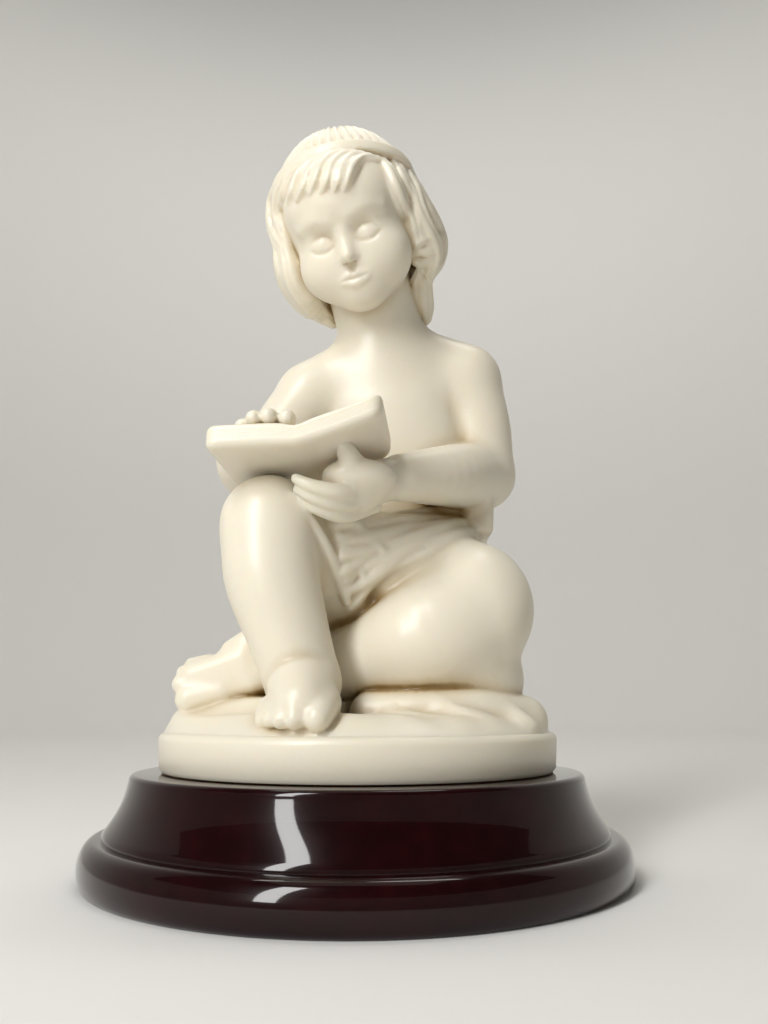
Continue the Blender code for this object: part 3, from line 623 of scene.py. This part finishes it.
# The head is shaped upright round its own centre, then bowed, turned and tilted as a whole
girlHead = {
    "block": ((-34, -46, 96), (32, 22, 157)),
    "centre": (-2.7, -14, 128.6),
    "size": 0.955,
    "bow": 31, "turn": -9, "tilt": -12,
    "skull": (
        ((0, 3, 4), (18.2, 20, 17), 3),
        ((0, -7, 5), (14.4, 12, 11), 3),
        ((0, -5, -5.4), (14.9, 12.5, 14.6), 3),
        ((0, -6, -11.6), (13.4, 10.8, 9.6), 4),
        ((0, -11.6, -14.6), (7.4, 5.4, 5.2), 3),
        ((0, -11.8, -18.6), (5.4, 4.6, 4), 4),
    ),
    "cheek": ((7.2, -10.6, -10.2), (7.1, 6, 6.6), 4),
    "socket": ((6.3, -19.4, -2.6), (4, 2.6, 2.2), 2.4),
    "eye": ((6.2, -13.6, -4), (3.7, 3.3, 2.8), 0.9),
    "brow": ((2.6, -16.9, 1.2, 0.8), (6.6, -16.5, 2.3, 0.9), (10.8, -13.6, 1.2, 0.7)),
    "lashLine": ((3.2, -4.9, 0.24), (4.6, -5.6, 0.42), (6.3, -5.95, 0.48), (8, -5.6, 0.42),
                 (9.5, -4.7, 0.24)),
    "lidCrease": ((3.4, -3.2, 0.14), (4.8, -2.1, 0.22), (6.4, -1.8, 0.24), (8.2, -2.2, 0.2),
                  (9.4, -3.2, 0.12)),
    "nose": ((0, -16.4, -1.6, 1), (0, -17.4, -4.8, 1.2), (0, -18.7, -8.3, 1.75)),
    "noseWing": ((1.5, -17.4, -8.9, 1), (2.1, -16.9, -8.8, 0.85)),
    "nostril": ((1.2, -18, -10.2), (0.5, 0.55, 0.35)),
    "lipDip": ((0, -18.4, -11.6), (0.7, 0.9, 1.3)),
    # Half of each line of the mouth, from its corner to the middle
    "upperLip": ((-3.7, -13.9, 0.45), (-1.4, -13.2, 0.85), (0, -13.4, 0.8)),
    "lowerLip": ((-2.9, -14.8, 0.5), (0, -15.4, 1.05)),
    "mouthLine": ((-4.1, -13.95, 0.16), (-1.6, -14.1, 0.26), (0, -14.25, 0.28)),
    "lipSink": 0.35,
    "blends": {"brow": 2.4, "nose": 2.0, "noseWing": 1.1, "nostril": 0.5, "lipDip": 1.2, "lip": 1.0,
               "mouthLine": 0.5, "lidLine": 0.45},
}

headMatrix = (Matrix.Translation(Vector(girlHead["centre"])) @ turnBy(girlHead["turn"], "Z")
              @ turnBy(girlHead["bow"], "X") @ turnBy(girlHead["tilt"], "Y")
              @ Matrix.Scale(girlHead["size"], 4))
headTurn = headMatrix.to_quaternion().to_matrix()


def onHead(knots):
    size = girlHead["size"]
    return [(*(headMatrix @ Vector(knot[:3])), knot[3] * size) for knot in knots]


def headBall(clay, centre, radii, blend, carve=False):
    size = girlHead["size"]
    clay.ball(headMatrix @ Vector(centre), [radius * size for radius in radii], blend, headTurn, carve)


def otherSide(knots):
    return [(-knot[0], *knot[1:]) for knot in knots]


def onSide(knots, side):
    return knots if side > 0 else otherSide(knots)


def bothSides(half):
    return list(half) + otherSide(half[-2::-1])


# Knots of (x, z, radius) laid on the face's own skin, sunk by a share of their radius
def onFace(clay, knots, sink=0.0):
    made = []
    counts = [np.arange(len(line)) for line in clay.lines]
    for x, z, radius in knots:
        for y in np.arange(-22.0, -8.0, 0.05):
            place = headMatrix @ Vector((x, y, z))
            cell = [np.interp(place[axis], clay.lines[axis], counts[axis]) for axis in range(3)]
            if readGrid(clay.field, np.array([cell]))[0] < 0:
                break
        made.append((x, y + sink * radius, z, radius))
    return made


def carveHead():
    head, blends = girlHead, girlHead["blends"]
    clay = Clay(*head["block"])
    for centre, radii, blend in head["skull"]:
        headBall(clay, centre, radii, blend)
    for side in (1, -1):
        for part in ("cheek", "socket", "eye"):
            (x, y, z), radii, blend = head[part]
            headBall(clay, (side * x, y, z), radii, blend, part == "socket")
        clay.tube(onHead(onSide(head["brow"], side)), blends["brow"])
    clay.tube(onHead(head["nose"]), blends["nose"])
    for side in (1, -1):
        clay.tube(onHead(onSide(head["noseWing"], side)), blends["noseWing"])
        (x, y, z), radii = head["nostril"]
        headBall(clay, (side * x, y, z), radii, blends["nostril"], True)
    headBall(clay, *head["lipDip"], blends["lipDip"], True)
    lips = [bothSides(head[part]) for part in ("upperLip", "lowerLip")]
    clay.tubes([onHead(onFace(clay, lip, head["lipSink"])) for lip in lips], blends["lip"])
    clay.tube(onHead(onFace(clay, bothSides(head["mouthLine"]))), blends["mouthLine"], carve=True)
    for part in ("lashLine", "lidCrease"):
        for side in (1, -1):
            clay.tube(onHead(onFace(clay, onSide(head[part], side))), blends["lidLine"], carve=True)
    return clay


# Hair: masses of (centre, radii, blend), the cap first, and locks of (x, y, z, radius), all round the head
girlHair = {
    "block": ((-38, -46, 90), (34, 30, 157)),
    "masses": (
        ((-0.5, 4.8, 6.2), (19.6, 18, 20), 3),
        ((-0.5, 8.6, 4), (19, 17.2, 18), 3),
        ((-17.2, 2, 0), (4.6, 8.8, 9.5), 3),
        ((-17.4, 1.6, -12.6), (5.2, 8.4, 8.6), 2),
        ((16.6, 3, 0), (4.6, 8.8, 9.5), 3),
        ((17.4, 2.4, -9.4), (5.2, 8.4, 8), 2),
        ((0, 13.6, -7), (19, 12, 15), 3),
        ((1, 11.4, -18), (15.4, 9.6, 10), 3),
    ),
    "strandReach": 100, "crownStrands": 46, "crownGroove": 0.75,
    "fallStrands": 27, "fallGroove": 1.2, "fineStrands": 81, "fineGroove": 0.35,
    "bandFacing": (0.023, 0.484, 0.875), "bandHeight": 11.7, "bandHalfWidth": 1.7,
    "bandLift": 1.3, "bandReach": 24, "bandRounding": 0.45, "bandBlend": 0.25,
    "fringe": (
        ((12.6, -8.1, 12.6, 1.2), (9.2, -11, 13.3, 1.5), (6.8, -15.6, 11.6, 1.7), (5, -17.8, 9, 1.5),
         (3.8, -18.5, 7.1, 0.8)),
        ((10.7, -9, 13.8, 1.2), (6.9, -11.4, 14.5, 1.5), (4.4, -16, 12.3, 1.7), (2.9, -18.2, 9.6, 1.6),
         (1.3, -18.7, 7.6, 0.8)),
        ((8.9, -9.6, 14.8, 1.2), (4.8, -11.6, 15.4, 1.5), (1.9, -15.5, 13.4, 1.7), (0.2, -18, 10.5, 1.6),
         (-1.7, -18.5, 8.3, 0.8)),
        ((7, -10, 15.6, 1.2), (2.5, -11.5, 16.1, 1.5), (-0.7, -14.4, 14.3, 1.7), (-2.7, -17, 11.5, 1.6),
         (-5, -17.6, 8.9, 0.8)),
        ((4.6, -10.5, 16.3, 1.2), (-0.1, -11.7, 16.2, 1.5), (-3.8, -14.1, 14.1, 1.7),
         (-5.9, -16.5, 11, 1.7), (-8.8, -15.9, 8.7, 0.9)),
        ((1.5, -11, 16.5, 1.2), (-3.2, -10.9, 16.5, 1.5), (-7.4, -11.4, 14.5, 1.7),
         (-9.5, -13.8, 11.4, 1.7), (-12, -12.4, 9.2, 0.9)),
        ((-1.8, -10.5, 16.8, 1.2), (-6.7, -9.4, 16.5, 1.5), (-11.1, -7.8, 14.7, 1.7),
         (-13.5, -7.2, 12.4, 1.5), (-15.4, -5.2, 10.8, 0.9)),
    ),
    "rightTemple": (
        ((-6.4, -9.6, 16.4, 1.4), (-11.9, -6.2, 15.4, 1.8), (-15.8, -4.1, 13.4, 2), (-18, -2.8, 10.4, 2),
         (-19, -2.6, 7, 2), (-18.8, -3.7, 3.1, 1.9), (-17.5, -5, -0.3, 1.6), (-16.7, -5.1, -3.1, 0.9)),
        ((-10.7, -5.7, 16.8, 1.4), (-15.5, -2.7, 15.3, 1.8), (-19.6, 1.9, 13.1, 2), (-21.4, 1.9, 9.8, 2),
         (-22, 0.8, 6.1, 2), (-20.8, -3.3, 2, 1.9), (-19.3, -5.3, -1.4, 1.4)),
        ((-17.1, -5.2, -2.7, 1.4), (-16.6, -5.7, -6.1, 1.9), (-16.6, -5.2, -10, 2.2),
         (-16.2, -3.6, -14, 2.3), (-15.8, 1.7, -18.4, 2), (-14.4, 5.2, -22.2, 1)),
        ((-19.2, -5.1, -0.9, 1.5), (-19.3, -5.9, -4.5, 2.2), (-19.6, -6, -8.2, 2.6),
         (-19.4, -5.2, -12.2, 2.6), (-18.4, -2.9, -16.5, 2.4), (-17.5, 4.6, -20.4, 2),
         (-14.6, 4.6, -24.2, 1)),
        ((-21.7, -2.6, 0.7, 1.4), (-22, -3.7, -2.8, 2), (-22.3, -3.8, -6.3, 2.2),
         (-22.6, -2.8, -9.9, 2.2), (-21.6, -2.4, -13.9, 2), (-20.1, -0.4, -17.9, 1.6)),
    ),
    "leftTemple": (
        ((14.1, -6.7, 11.8, 1.3), (15.2, -8, 8.5, 2), (15.6, -8.9, 4.8, 2.4), (15.9, -7.6, 0.9, 2.4),
         (16, -4.9, -2.5, 2.2), (15.8, -5, -6.2, 1.8), (15.2, -4, -9.7, 1.4), (14.7, -1.8, -12.7, 0.8)),
        ((16.4, -1, 11.9, 1.3), (17.5, -2.5, 8.3, 1.8), (17.9, -3.6, 4.5, 2), (18.2, -4, 0.7, 2),
         (18.4, -5.2, -3, 1.9), (18.2, -5.2, -6.6, 1.6), (17.6, -4.9, -9.4, 1)),
        ((18.1, 1.8, 10.4, 1.3), (19, 1.8, 6.7, 1.8), (19.9, -1.9, 2.5, 2), (20.1, -3.7, -1.4, 2.1),
         (20.5, -3.9, -4.9, 2.1), (21.1, -2.8, -8.5, 2.2), (21.4, -1.1, -12, 2.2), (20.4, -0.2, -15.2, 2),
         (18.3, 0.2, -17.6, 1.4)),
        ((19.5, 5.9, 7.8, 1.3), (20.7, 1.2, 3.5, 1.8), (21.5, -0.5, -0.3, 2), (22.4, 0.6, -3.9, 2.1),
         (22.8, 5.1, -7.1, 2.2), (23, 5, -10.7, 2.2), (22, 5.1, -14.3, 2), (19.9, 2.4, -17.3, 1.6),
         (17.1, 4, -19.6, 1)),
        ((20.4, -3.1, -9.1, 1), (18.1, -4.8, -9.8, 1.1), (16.2, -4.1, -11.3, 1.1),
         (15.4, -2.5, -13.5, 1.1), (16.5, -2.1, -15.4, 1), (18.5, -2.5, -14.7, 0.8)),
        ((18.7, 1, -17.8, 1.2), (16.1, 4, -20.1, 1.9), (14.4, 5, -22.9, 2.6), (13.2, 6.6, -26.3, 2.8),
         (12.2, 8.4, -29.6, 2.2)),
        ((15.6, 0.2, -16.8, 1), (13, 3.6, -20, 1.7), (11.4, 4.8, -23.4, 2.2), (10.2, 6.4, -27, 2.2)),
    ),
    "lockSwell": 1.18, "lockReach": 0.95,
    "lockStrands": {"blend": 1.2, "strands": 6, "groove": 0.4, "twist": 0.8},
    "fringeStrands": {"blend": 0.8, "strands": 5, "groove": 0.3, "twist": 0.8},
}


def waveCut(angle):
    return (0.5 + 0.5 * np.cos(angle)) ** 2.2


capCentre, capRadii, _ = girlHair["masses"][0]


# Places round the cap's centre, along the head's own axes
def hairPlaces(clay, reach):
    centre = headMatrix @ Vector(capCentre)
    cut, local = clay.around(centre, reach, 0, headTurn)
    return cut, [value / girlHead["size"] for value in local]


# Strands are cut into the hair from the crown downwards, wavier the lower they fall
def cutStrands(clay):
    hair = girlHair
    cut, local = hairPlaces(clay, hair["strandReach"])
    pole = Vector(hair["bandFacing"]).normalized()
    first = pole.cross(Vector((0, 1, 0))).normalized()
    second = pole.cross(first)
    up, across, along = [dot(way, local) for way in (pole, first, second)]
    around = np.arctan2(along, across)
    fall = np.arctan2(np.sqrt(across ** 2 + along ** 2), up)
    low = np.clip((fall - 1.2) / 0.25, 0.0, 1.0)
    sway = 0.16 * low * np.sin(5.2 * fall + 2 * around) + 0.07 * np.sin(3 * fall + 3 * around)
    crown = hair["crownGroove"] * (1 - low) * np.clip(fall * 1.6, 0, 1)
    crown = crown * waveCut(hair["crownStrands"] * (around + sway * 0.6))
    wide = hair["fallGroove"] * low * waveCut(hair["fallStrands"] * (around + sway))
    fine = hair["fineGroove"] * low * waveCut(hair["fineStrands"] * (around + sway * 1.15))
    clay.field[cut] += (crown + wide + fine) * girlHead["size"]


def swollen(lock):
    return [(knot[0] * girlHair["lockReach"], *knot[1:3], knot[3] * girlHair["lockSwell"]) for knot in lock]


# The plain headband: a flat strip laid round the hair's cap
def carveBand(clay):
    hair = girlHair
    rounding = hair["bandRounding"]
    cut, local = hairPlaces(clay, hair["bandReach"])
    shell = ellipsoidGap(local, [radius + hair["bandLift"] for radius in capRadii])
    height = dot(hair["bandFacing"], [value + middle for value, middle in zip(local, capCentre)])
    across = np.abs(height - hair["bandHeight"]) - hair["bandHalfWidth"]
    over = [np.maximum(value + rounding, 0.0) for value in (shell, across)]
    inside = np.minimum(np.maximum(shell, across) + rounding, 0.0)
    band = np.sqrt(over[0] ** 2 + over[1] ** 2) + inside - rounding
    clay.put(cut, band * girlHead["size"], hair["bandBlend"])


def carveHair():
    hair = girlHair
    clay = Clay(*hair["block"])
    for centre, radii, blend in hair["masses"]:
        headBall(clay, centre, radii, blend)
    cutStrands(clay)
    for lock in hair["rightTemple"] + hair["leftTemple"]:
        clay.tube(onHead(swollen(lock)), **hair["lockStrands"])
    for lock in hair["fringe"]:
        clay.tube(onHead(lock), **hair["fringeStrands"])
    carveBand(clay)
    return clay


def boxBlur(values, reach):
    width = 2 * reach + 1
    for axis in range(3):
        first, last = [np.take(values, [end], axis) for end in (0, -1)]
        padded = [np.repeat(first, reach + 1, axis), values, np.repeat(last, reach, axis)]
        total = np.cumsum(np.concatenate(padded, axis), axis, dtype=np.float32)
        size = values.shape[axis]
        high, low = [np.take(total, range(start, start + size), axis) for start in (width, 0)]
        values = (high - low) / width
    return values


def readGrid(values, cells):
    base = np.floor(cells).astype(int)
    part = (cells - base).astype(np.float32)
    base = np.minimum(base, np.array(values.shape) - 2)
    found = np.zeros(len(cells), np.float32)
    for corner in range(8):
        step = np.array([corner & 1, corner >> 1 & 1, corner >> 2 & 1])
        weight = np.prod(np.where(step, part, 1 - part), axis=1)
        at = base + step
        found += weight * values[at[:, 0], at[:, 1], at[:, 2]]
    return found


# How the share of clay round a point becomes the depth of its hollow, with blurs in cells: the mask for
# painted shade in the hollows
hollowShade = {"near": 4, "wide": 11, "quickNear": 2, "quickWide": 5,
               "nearShare": 0.45, "wideShare": 0.55, "from": 0.51, "over": 0.27}


def clayMesh(clay, name):
    field = clay.field
    grid = openvdb.FloatGrid()
    grid.background = clayBlock["far"]
    grid.copyFromArray(field)
    cells, _, quads = grid.convertToPolygons(isovalue=0.0, adaptivity=0.0)
    places = np.stack([np.interp(cells[:, axis], np.arange(len(gridLines[axis])), gridLines[axis])
                       for axis in range(3)], 1)
    places[:, 2] += ground
    places *= millimetre
    mesh = bpy.data.meshes.new(name)
    mesh.from_pydata(places, [], quads[:, ::-1].tolist(), shade_flat=False)
    shade = hollowShade
    solid = (field < 0).astype(np.float32)
    near, wide = [boxBlur(solid, shade[name]) for name in
                  ((("near", "wide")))]
    depth = shade["nearShare"] * readGrid(near, cells) + shade["wideShare"] * readGrid(wide, cells)
    # The hollow attribute is painted shade: deeper where more clay closes round a point
    hollow = np.clip((depth - shade["from"]) / shade["over"], 0.0, 1.0)
    mesh.attributes.new("hollow", "FLOAT", "POINT").data.foreach_set("value", hollow)
    return mesh


def addObject(name, data):
    made = bpy.data.objects.new(name, data)
    bpy.context.scene.collection.objects.link(made)
    return made


def plainMesh(piece):
    depsgraph = bpy.context.evaluated_depsgraph_get()
    mesh = bpy.data.meshes.new_from_object(piece.evaluated_get(depsgraph), depsgraph=depsgraph)
    piece.modifiers.clear()
    piece.data = mesh
    return mesh


# The whole carving, with how softly each part joins the body
carving = {
    "triangles": 190000,
    "drapery": 0.8,
    "parts": ((carveFeet, 0.7), (carveHands, 0.7), (carveGround, 0.8), (carveHead, 1.6), (carveHair, 0.5)),
}


def makeCarving():
    clay = carveBody()
    print("body carved", clay.field.shape)
    clay.join(carveDrapery(clay), carving["drapery"])
    clay.tubes(*girlBody["arms"])
    for carve, blend in carving["parts"]:
        clay.join(carve(), blend)
    print("drapery, limbs, ground, head and hair carved")
    mesh = clayMesh(clay, "girlCarving")
    piece = addObject("girlCarving", mesh)
    count = 2 * len(mesh.polygons)
    thin = piece.modifiers.new("Thin", "DECIMATE")
    thin.ratio = min(1.0, carving["triangles"] / count)
    plainMesh(piece)
    piece.data.shade_smooth()
    print("carving has", count, "triangles, kept", len(piece.data.polygons))
    return piece


# The open book: one soft slab for both halves, with faint lines of leaves along its edges
book = {
    "corner": (-12.4, -45.2, 57.4), "tilt": -2.6, "turn": -5.0,
    "halfWidth": 19.0, "length": 25.5, "thickness": 5.3,
    "rightRise": 19.0, "leftRise": -1.0, "riseCurve": 0.25,
    "edgeRound": 1.7, "roundSteps": 6, "pageSteps": 16, "leafRows": 30,
    "leafLines": 6, "leafDepth": 0.05, "spineDip": 0.7, "spineWidth": 7,
}


def bookPlace():
    x, y, z = book["corner"]
    turn = turnBy(book["turn"], "Z") @ turnBy(book["tilt"], "X")
    return Matrix.Translation(Vector((x, y, z + ground)) * millimetre) @ turn @ Matrix.Scale(millimetre, 4)


# Angles of a quarter turn, from its first step to its last
def quarterTurn(first=0):
    steps = book["roundSteps"]
    return [math.radians(90 * index / steps) for index in range(first, steps + 1)]


# One closed ring of (depth, height share) round the slab, from the middle of its underside
def bookRing():
    length, thick, soft, rows = [book[name] for name in ("length", "thickness", "edgeRound", "leafRows")]
    ring = []
    for index in range(1, 5):
        ring.append((length * 0.5 - (length * 0.5 - soft) * index / 4, 0.0))
    for angle in quarterTurn(1):
        ring.append((soft - soft * math.sin(angle), soft - soft * math.cos(angle)))
    for index in range(1, rows):
        up = soft + (thick - 1.6 * soft) * index / rows
        line = math.sin(index / rows * math.tau * book["leafLines"] * 0.5) ** 2
        ring.append((book["leafDepth"] * (1 - line) * min(1, index / 5, (rows - index) / 5), up))
    top = soft * 0.6
    for angle in quarterTurn():
        ring.append((top - top * math.cos(angle), thick - top + top * math.sin(angle)))
    for index in range(1, 10):
        ring.append((top + (length * 0.5 - top) * index / 9, thick))
    ring += [(length - depth, up) for depth, up in ring[-2::-1]] + [(length * 0.5, 0.0)]
    return ring


# One half of the book, from its outer edge to the spine, as shares of its width and thickness
def bookHalf(soft):
    half = [(1 - soft / book["halfWidth"] * (1 - math.sin(angle)), math.cos(angle))
            for angle in reversed(quarterTurn())]
    edge, steps = half[-1][0], book["pageSteps"]
    return half + [(edge * (1 - index / steps), 1.0) for index in range(1, steps + 1)]


# Faces between closed rings that have the same count of points
def bridge(bm, rings):
    for first, second in zip(rings, rings[1:]):
        for index in range(len(first)):
            after = (index + 1) % len(first)
            bm.faces.new((first[index], first[after], second[after], second[index]))


def meshFrom(bm, name):
    mesh = bpy.data.meshes.new(name)
    bm.to_mesh(mesh)
    bm.free()
    mesh.shade_smooth()
    return mesh


def makeBook():
    bm = bmesh.new()
    ring = bookRing()
    length, thick, soft = book["length"], book["thickness"], book["edgeRound"] * 1.3
    sections = []
    for hand, rise in ((-1, math.radians(book["leftRise"])), (1, math.radians(book["rightRise"]))):
        half = bookHalf(soft)
        if hand > 0:
            half = half[::-1][1:]
        for share, shrink in half:
            out = hand * book["halfWidth"] * share
            up = abs(out) * math.sin(rise) * share ** book["riseCurve"]
            sections.append((out * math.cos(rise), up, shrink, share))
    rows = []
    for x, up, shrink, share in sections:
        row = []
        dip = book["spineDip"] * math.exp(-(share * book["spineWidth"]) ** 2)
        inset = (1 - shrink) * soft
        for depth, height in ring:
            level = (height - thick * 0.5) * (1 - (1 - shrink) * 2 * soft * 0.6 / thick) + thick * 0.5
            back = inset + depth * (length - 2 * inset) / length
            row.append(bm.verts.new((x, back, up + level - dip * height / thick)))
        rows.append(row)
    bridge(bm, rows)
    count = len(ring)
    for row in (rows[0], rows[-1]):
        middle = bm.verts.new(sum((vertex.co for vertex in row), Vector()) / count)
        for index in range(count):
            bm.faces.new((row[index], row[(index + 1) % count], middle))
    bmesh.ops.remove_doubles(bm, verts=bm.verts, dist=0.002)
    bmesh.ops.transform(bm, matrix=bookPlace(), verts=bm.verts)
    bmesh.ops.recalc_face_normals(bm, faces=bm.faces)
    mesh = meshFrom(bm, "openBook")
    # The hollow attribute left at zero: no painted shade on the book
    mesh.attributes.new("hollow", "FLOAT", "POINT")
    return addObject("openBook", mesh)


# Turned pieces: a profile of (radius, height) from the top down the outer side, swept round
def arcPoints(radius, height, across, up, start, end, steps):
    made = []
    for index in range(steps + 1):
        angle = math.radians(start + (end - start) * index / steps)
        made.append((radius + across * math.cos(angle), height + up * math.sin(angle)))
    return made


turning = {"mergeDistance": 0.000002, "sharpAngle": 50}


def turningTree():
    tree = bpy.data.node_groups.new("turnedPiece", "GeometryNodeTree")
    for name, kind in (("Geometry", "Geometry"), ("Sides", "Int"), ("Finish", "Material")):
        tree.interface.new_socket(name, in_out="INPUT", socket_type="NodeSocket" + kind)
    tree.interface.new_socket("Geometry", in_out="OUTPUT", socket_type="NodeSocketGeometry")
    wire = Wire(tree)
    start = wire.node("NodeGroupInput")
    ring = wire.node("GeometryNodeCurvePrimitiveCircle", Radius=1.0, Resolution=wire.out(start, "Sides"))
    profile = wire.node("GeometryNodeMeshToCurve", Mesh=wire.out(start, "Geometry"))
    turned = wire.node("GeometryNodeCurveToMesh", Curve=wire.out(ring), i1=wire.out(profile))
    merged = wire.node("GeometryNodeMergeByDistance", Geometry=wire.out(turned, "Mesh"),
                       Distance=turning["mergeDistance"])
    real = wire.node("GeometryNodeRealizeInstances", Geometry=wire.out(merged, "Geometry"))
    coated = wire.node("GeometryNodeSetMaterial", Geometry=wire.out(real, "Geometry"),
                       Material=wire.out(start, "Finish"))
    wire.node("NodeGroupOutput", Geometry=wire.out(coated, "Geometry"))
    return tree


def turnedPiece(name, profile, tree, **inputs):
    mesh = bpy.data.meshes.new(name)
    points = [(radius * millimetre - 1.0, -height * millimetre, 0.0) for radius, height in profile]
    mesh.from_pydata(points, [(index, index + 1) for index in range(len(points) - 1)], [])
    piece = addObject(name, mesh)
    sweep = piece.modifiers.new("Turning", "NODES")
    sweep.node_group = tree
    for item in tree.interface.items_tree:
        if item.name in inputs:
            sweep[item.identifier] = inputs[item.name]
    mesh = plainMesh(piece)
    bm = bmesh.new()
    bm.from_mesh(mesh)
    bmesh.ops.recalc_face_normals(bm, faces=bm.faces)
    bm.to_mesh(mesh)
    bm.free()
    mesh.shade_smooth()
    mesh.set_sharp_from_angle(angle=math.radians(turning["sharpAngle"]))
    return piece


woodBase = {
    "footRadius": 60.0, "bulgeRadius": 61.8, "bulgeHeight": 9.0, "bulgeMiddle": 0.42,
    "grooveDepth": 1.4, "grooveRise": 0.6, "waistRadius": 57.2, "waistHollow": 0.9,
    "ledgeRadius": 52.4, "height": 22.0, "edgeRound": 1.2, "sides": 224,
}


def woodProfile():
    base = woodBase
    rounding, waist, bulge = base["edgeRound"], base["waistRadius"], base["bulgeRadius"]
    middle = base["bulgeHeight"] * base["bulgeMiddle"]
    profile = [(0.0, base["height"])]
    ledge, shoulder = base["ledgeRadius"] - rounding, base["height"] - rounding
    profile += arcPoints(ledge, shoulder, rounding, rounding, 90, 0, 8)
    top = profile[-1]
    foot = (waist, base["bulgeHeight"] + base["grooveDepth"] * base["grooveRise"])
    for index in range(1, 13):
        share = index / 12
        hollow = base["waistHollow"] * math.sin(share * math.pi)
        profile.append((top[0] + (foot[0] - top[0]) * share - hollow, top[1] + (foot[1] - top[1]) * share))
    profile.append((waist, base["bulgeHeight"]))
    lip = waist + base["grooveDepth"]
    profile += arcPoints(lip, middle, bulge - lip, base["bulgeHeight"] - middle, 90, 0, 16)
    profile += arcPoints(base["footRadius"], middle, bulge - base["footRadius"], middle, -10, -90, 10)
    profile.append((0.0, 0.0))
    return profile


castDisc = {"radius": 46.6, "edgeRound": 1.6, "sides": 192}


def discProfile():
    bottom = levels["baseTop"] + levels["seatGap"]
    rounding = castDisc["edgeRound"]
    edge = castDisc["radius"] - rounding
    profile = [(0.0, ground)]
    profile += arcPoints(edge, ground - rounding, rounding, rounding, 90, 0, 8)
    profile.append((edge + rounding * 0.7, bottom + rounding * 0.5))
    profile += [(edge + rounding * 0.3, bottom), (0.0, bottom)]
    return profile


# Studio: a round pale floor that curves up into a wall, low in front and high behind, and three soft lamps
studio = {
    "paper": {"Base Color": (0.80, 0.795, 0.78, 1.0), "Roughness": 0.9},
    "holeRadius": 0.5, "floorRadius": 1.15, "coveRadius": 0.45,
    "wallLow": 0.85, "wallBehind": 2.9, "wallSides": 96,
    "worldColour": (0.82, 0.79, 0.72, 1.0), "worldStrength": 0.08,
    "lamps": {
        "keyLamp": {"place": (-0.29, -0.48, 0.40), "aim": (0.0, 0.0, 0.09), "size": (0.10, 0.56),
                    "power": 3.9, "colour": (1.0, 0.992, 0.985)},
        "topLamp": {"place": (0.0, 0.1, 1.9), "aim": (0.0, 0.0, 0.09), "size": (1.4, 1.4),
                    "power": 3.4, "colour": (1.0, 0.93, 0.80)},
        "wallLamp": {"place": (0.0, 0.30, 1.60), "aim": (0.0, 1.6, 0.55), "size": (1.2, 0.4),
                     "power": 11.0, "colour": (1.0, 0.985, 0.95)},
    },
}


def makeFloor():
    flat, bend, sides = studio["floorRadius"], studio["coveRadius"], studio["wallSides"]
    profile = [(studio["holeRadius"], 0.0), (flat, 0.0)]
    for degrees in range(10, 91, 10):
        angle = math.radians(degrees)
        profile.append((flat + bend * math.sin(angle), bend - bend * math.cos(angle)))
    profile.append((flat + bend, studio["wallLow"]))
    bm = bmesh.new()
    turns = [math.tau * side / sides for side in range(sides)]
    rings = [[bm.verts.new((reach * math.cos(turn), reach * math.sin(turn), height)) for turn in turns]
             for reach, height in profile]
    for vertex in rings[-1]:
        behind = max(0.0, vertex.co.y / (flat + bend)) ** 0.5
        vertex.co.z += (studio["wallBehind"] - studio["wallLow"]) * behind
    bm.faces.new(rings[0])
    bridge(bm, rings[::-1])
    mesh = meshFrom(bm, "paleFloor")
    mesh.materials.append(startMaterial("palePaper", studio["paper"])[0])
    floor = addObject("paleFloor", mesh)


def makeStudio():
    makeFloor()
    world = bpy.data.worlds.new("paleRoom")
    world.use_nodes = True
    background = world.node_tree.nodes["Background"]
    background.inputs["Color"].default_value = studio["worldColour"]
    background.inputs["Strength"].default_value = studio["worldStrength"]
    bpy.context.scene.world = world
    for name, values in studio["lamps"].items():
        addLamp(name, values)


def addLamp(name, values):
    lamp = bpy.data.lights.new(name, "AREA")
    lamp.shape = "RECTANGLE"
    lamp.size, lamp.size_y = values["size"]
    lamp.energy = values["power"]
    lamp.color = values["colour"]
    holder = addObject(name, lamp)
    holder.location = values["place"]
    holder.rotation_euler = (Vector(values["aim"]) - holder.location).to_track_quat("-Z", "Y").to_euler()


photoCamera = {"place": (0.006, -0.200, 0.0354), "up": 14.0, "lens": 28.125, "sensor": 36.0, "near": 0.01}


def makeCamera():
    lens = bpy.data.cameras.new("photoCamera")
    lens.sensor_width = photoCamera["sensor"]
    lens.lens = photoCamera["lens"]
    lens.clip_start = photoCamera["near"]
    holder = addObject("photoCamera", lens)
    holder.location = photoCamera["place"]
    holder.rotation_euler = (math.radians(90 + photoCamera["up"]), 0.0, 0.0)
    bpy.context.scene.camera = holder


alabaster = alabasterMaterial()
wood = woodMaterial()
girl = makeCarving()
openBook = makeBook()
tree = turningTree()
disc = turnedPiece("castDisc", discProfile(), tree, Sides=castDisc["sides"], Finish=alabaster)
# The hollow attribute left at zero: no painted shade on the disc
disc.data.attributes.new("hollow", "FLOAT", "POINT")
base = turnedPiece("turnedBase", woodProfile(), tree, Sides=woodBase["sides"], Finish=wood)
print("book, disc and base made")
for piece in (girl, openBook):
    piece.data.materials.append(alabaster)
for piece in (girl, openBook, disc):
    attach(piece, "root")
    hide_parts("alabaster_figure")
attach(base, "root")
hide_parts("wood_base")
makeStudio()
makeCamera()
bpy.context.scene.view_settings.view_transform = "Standard"
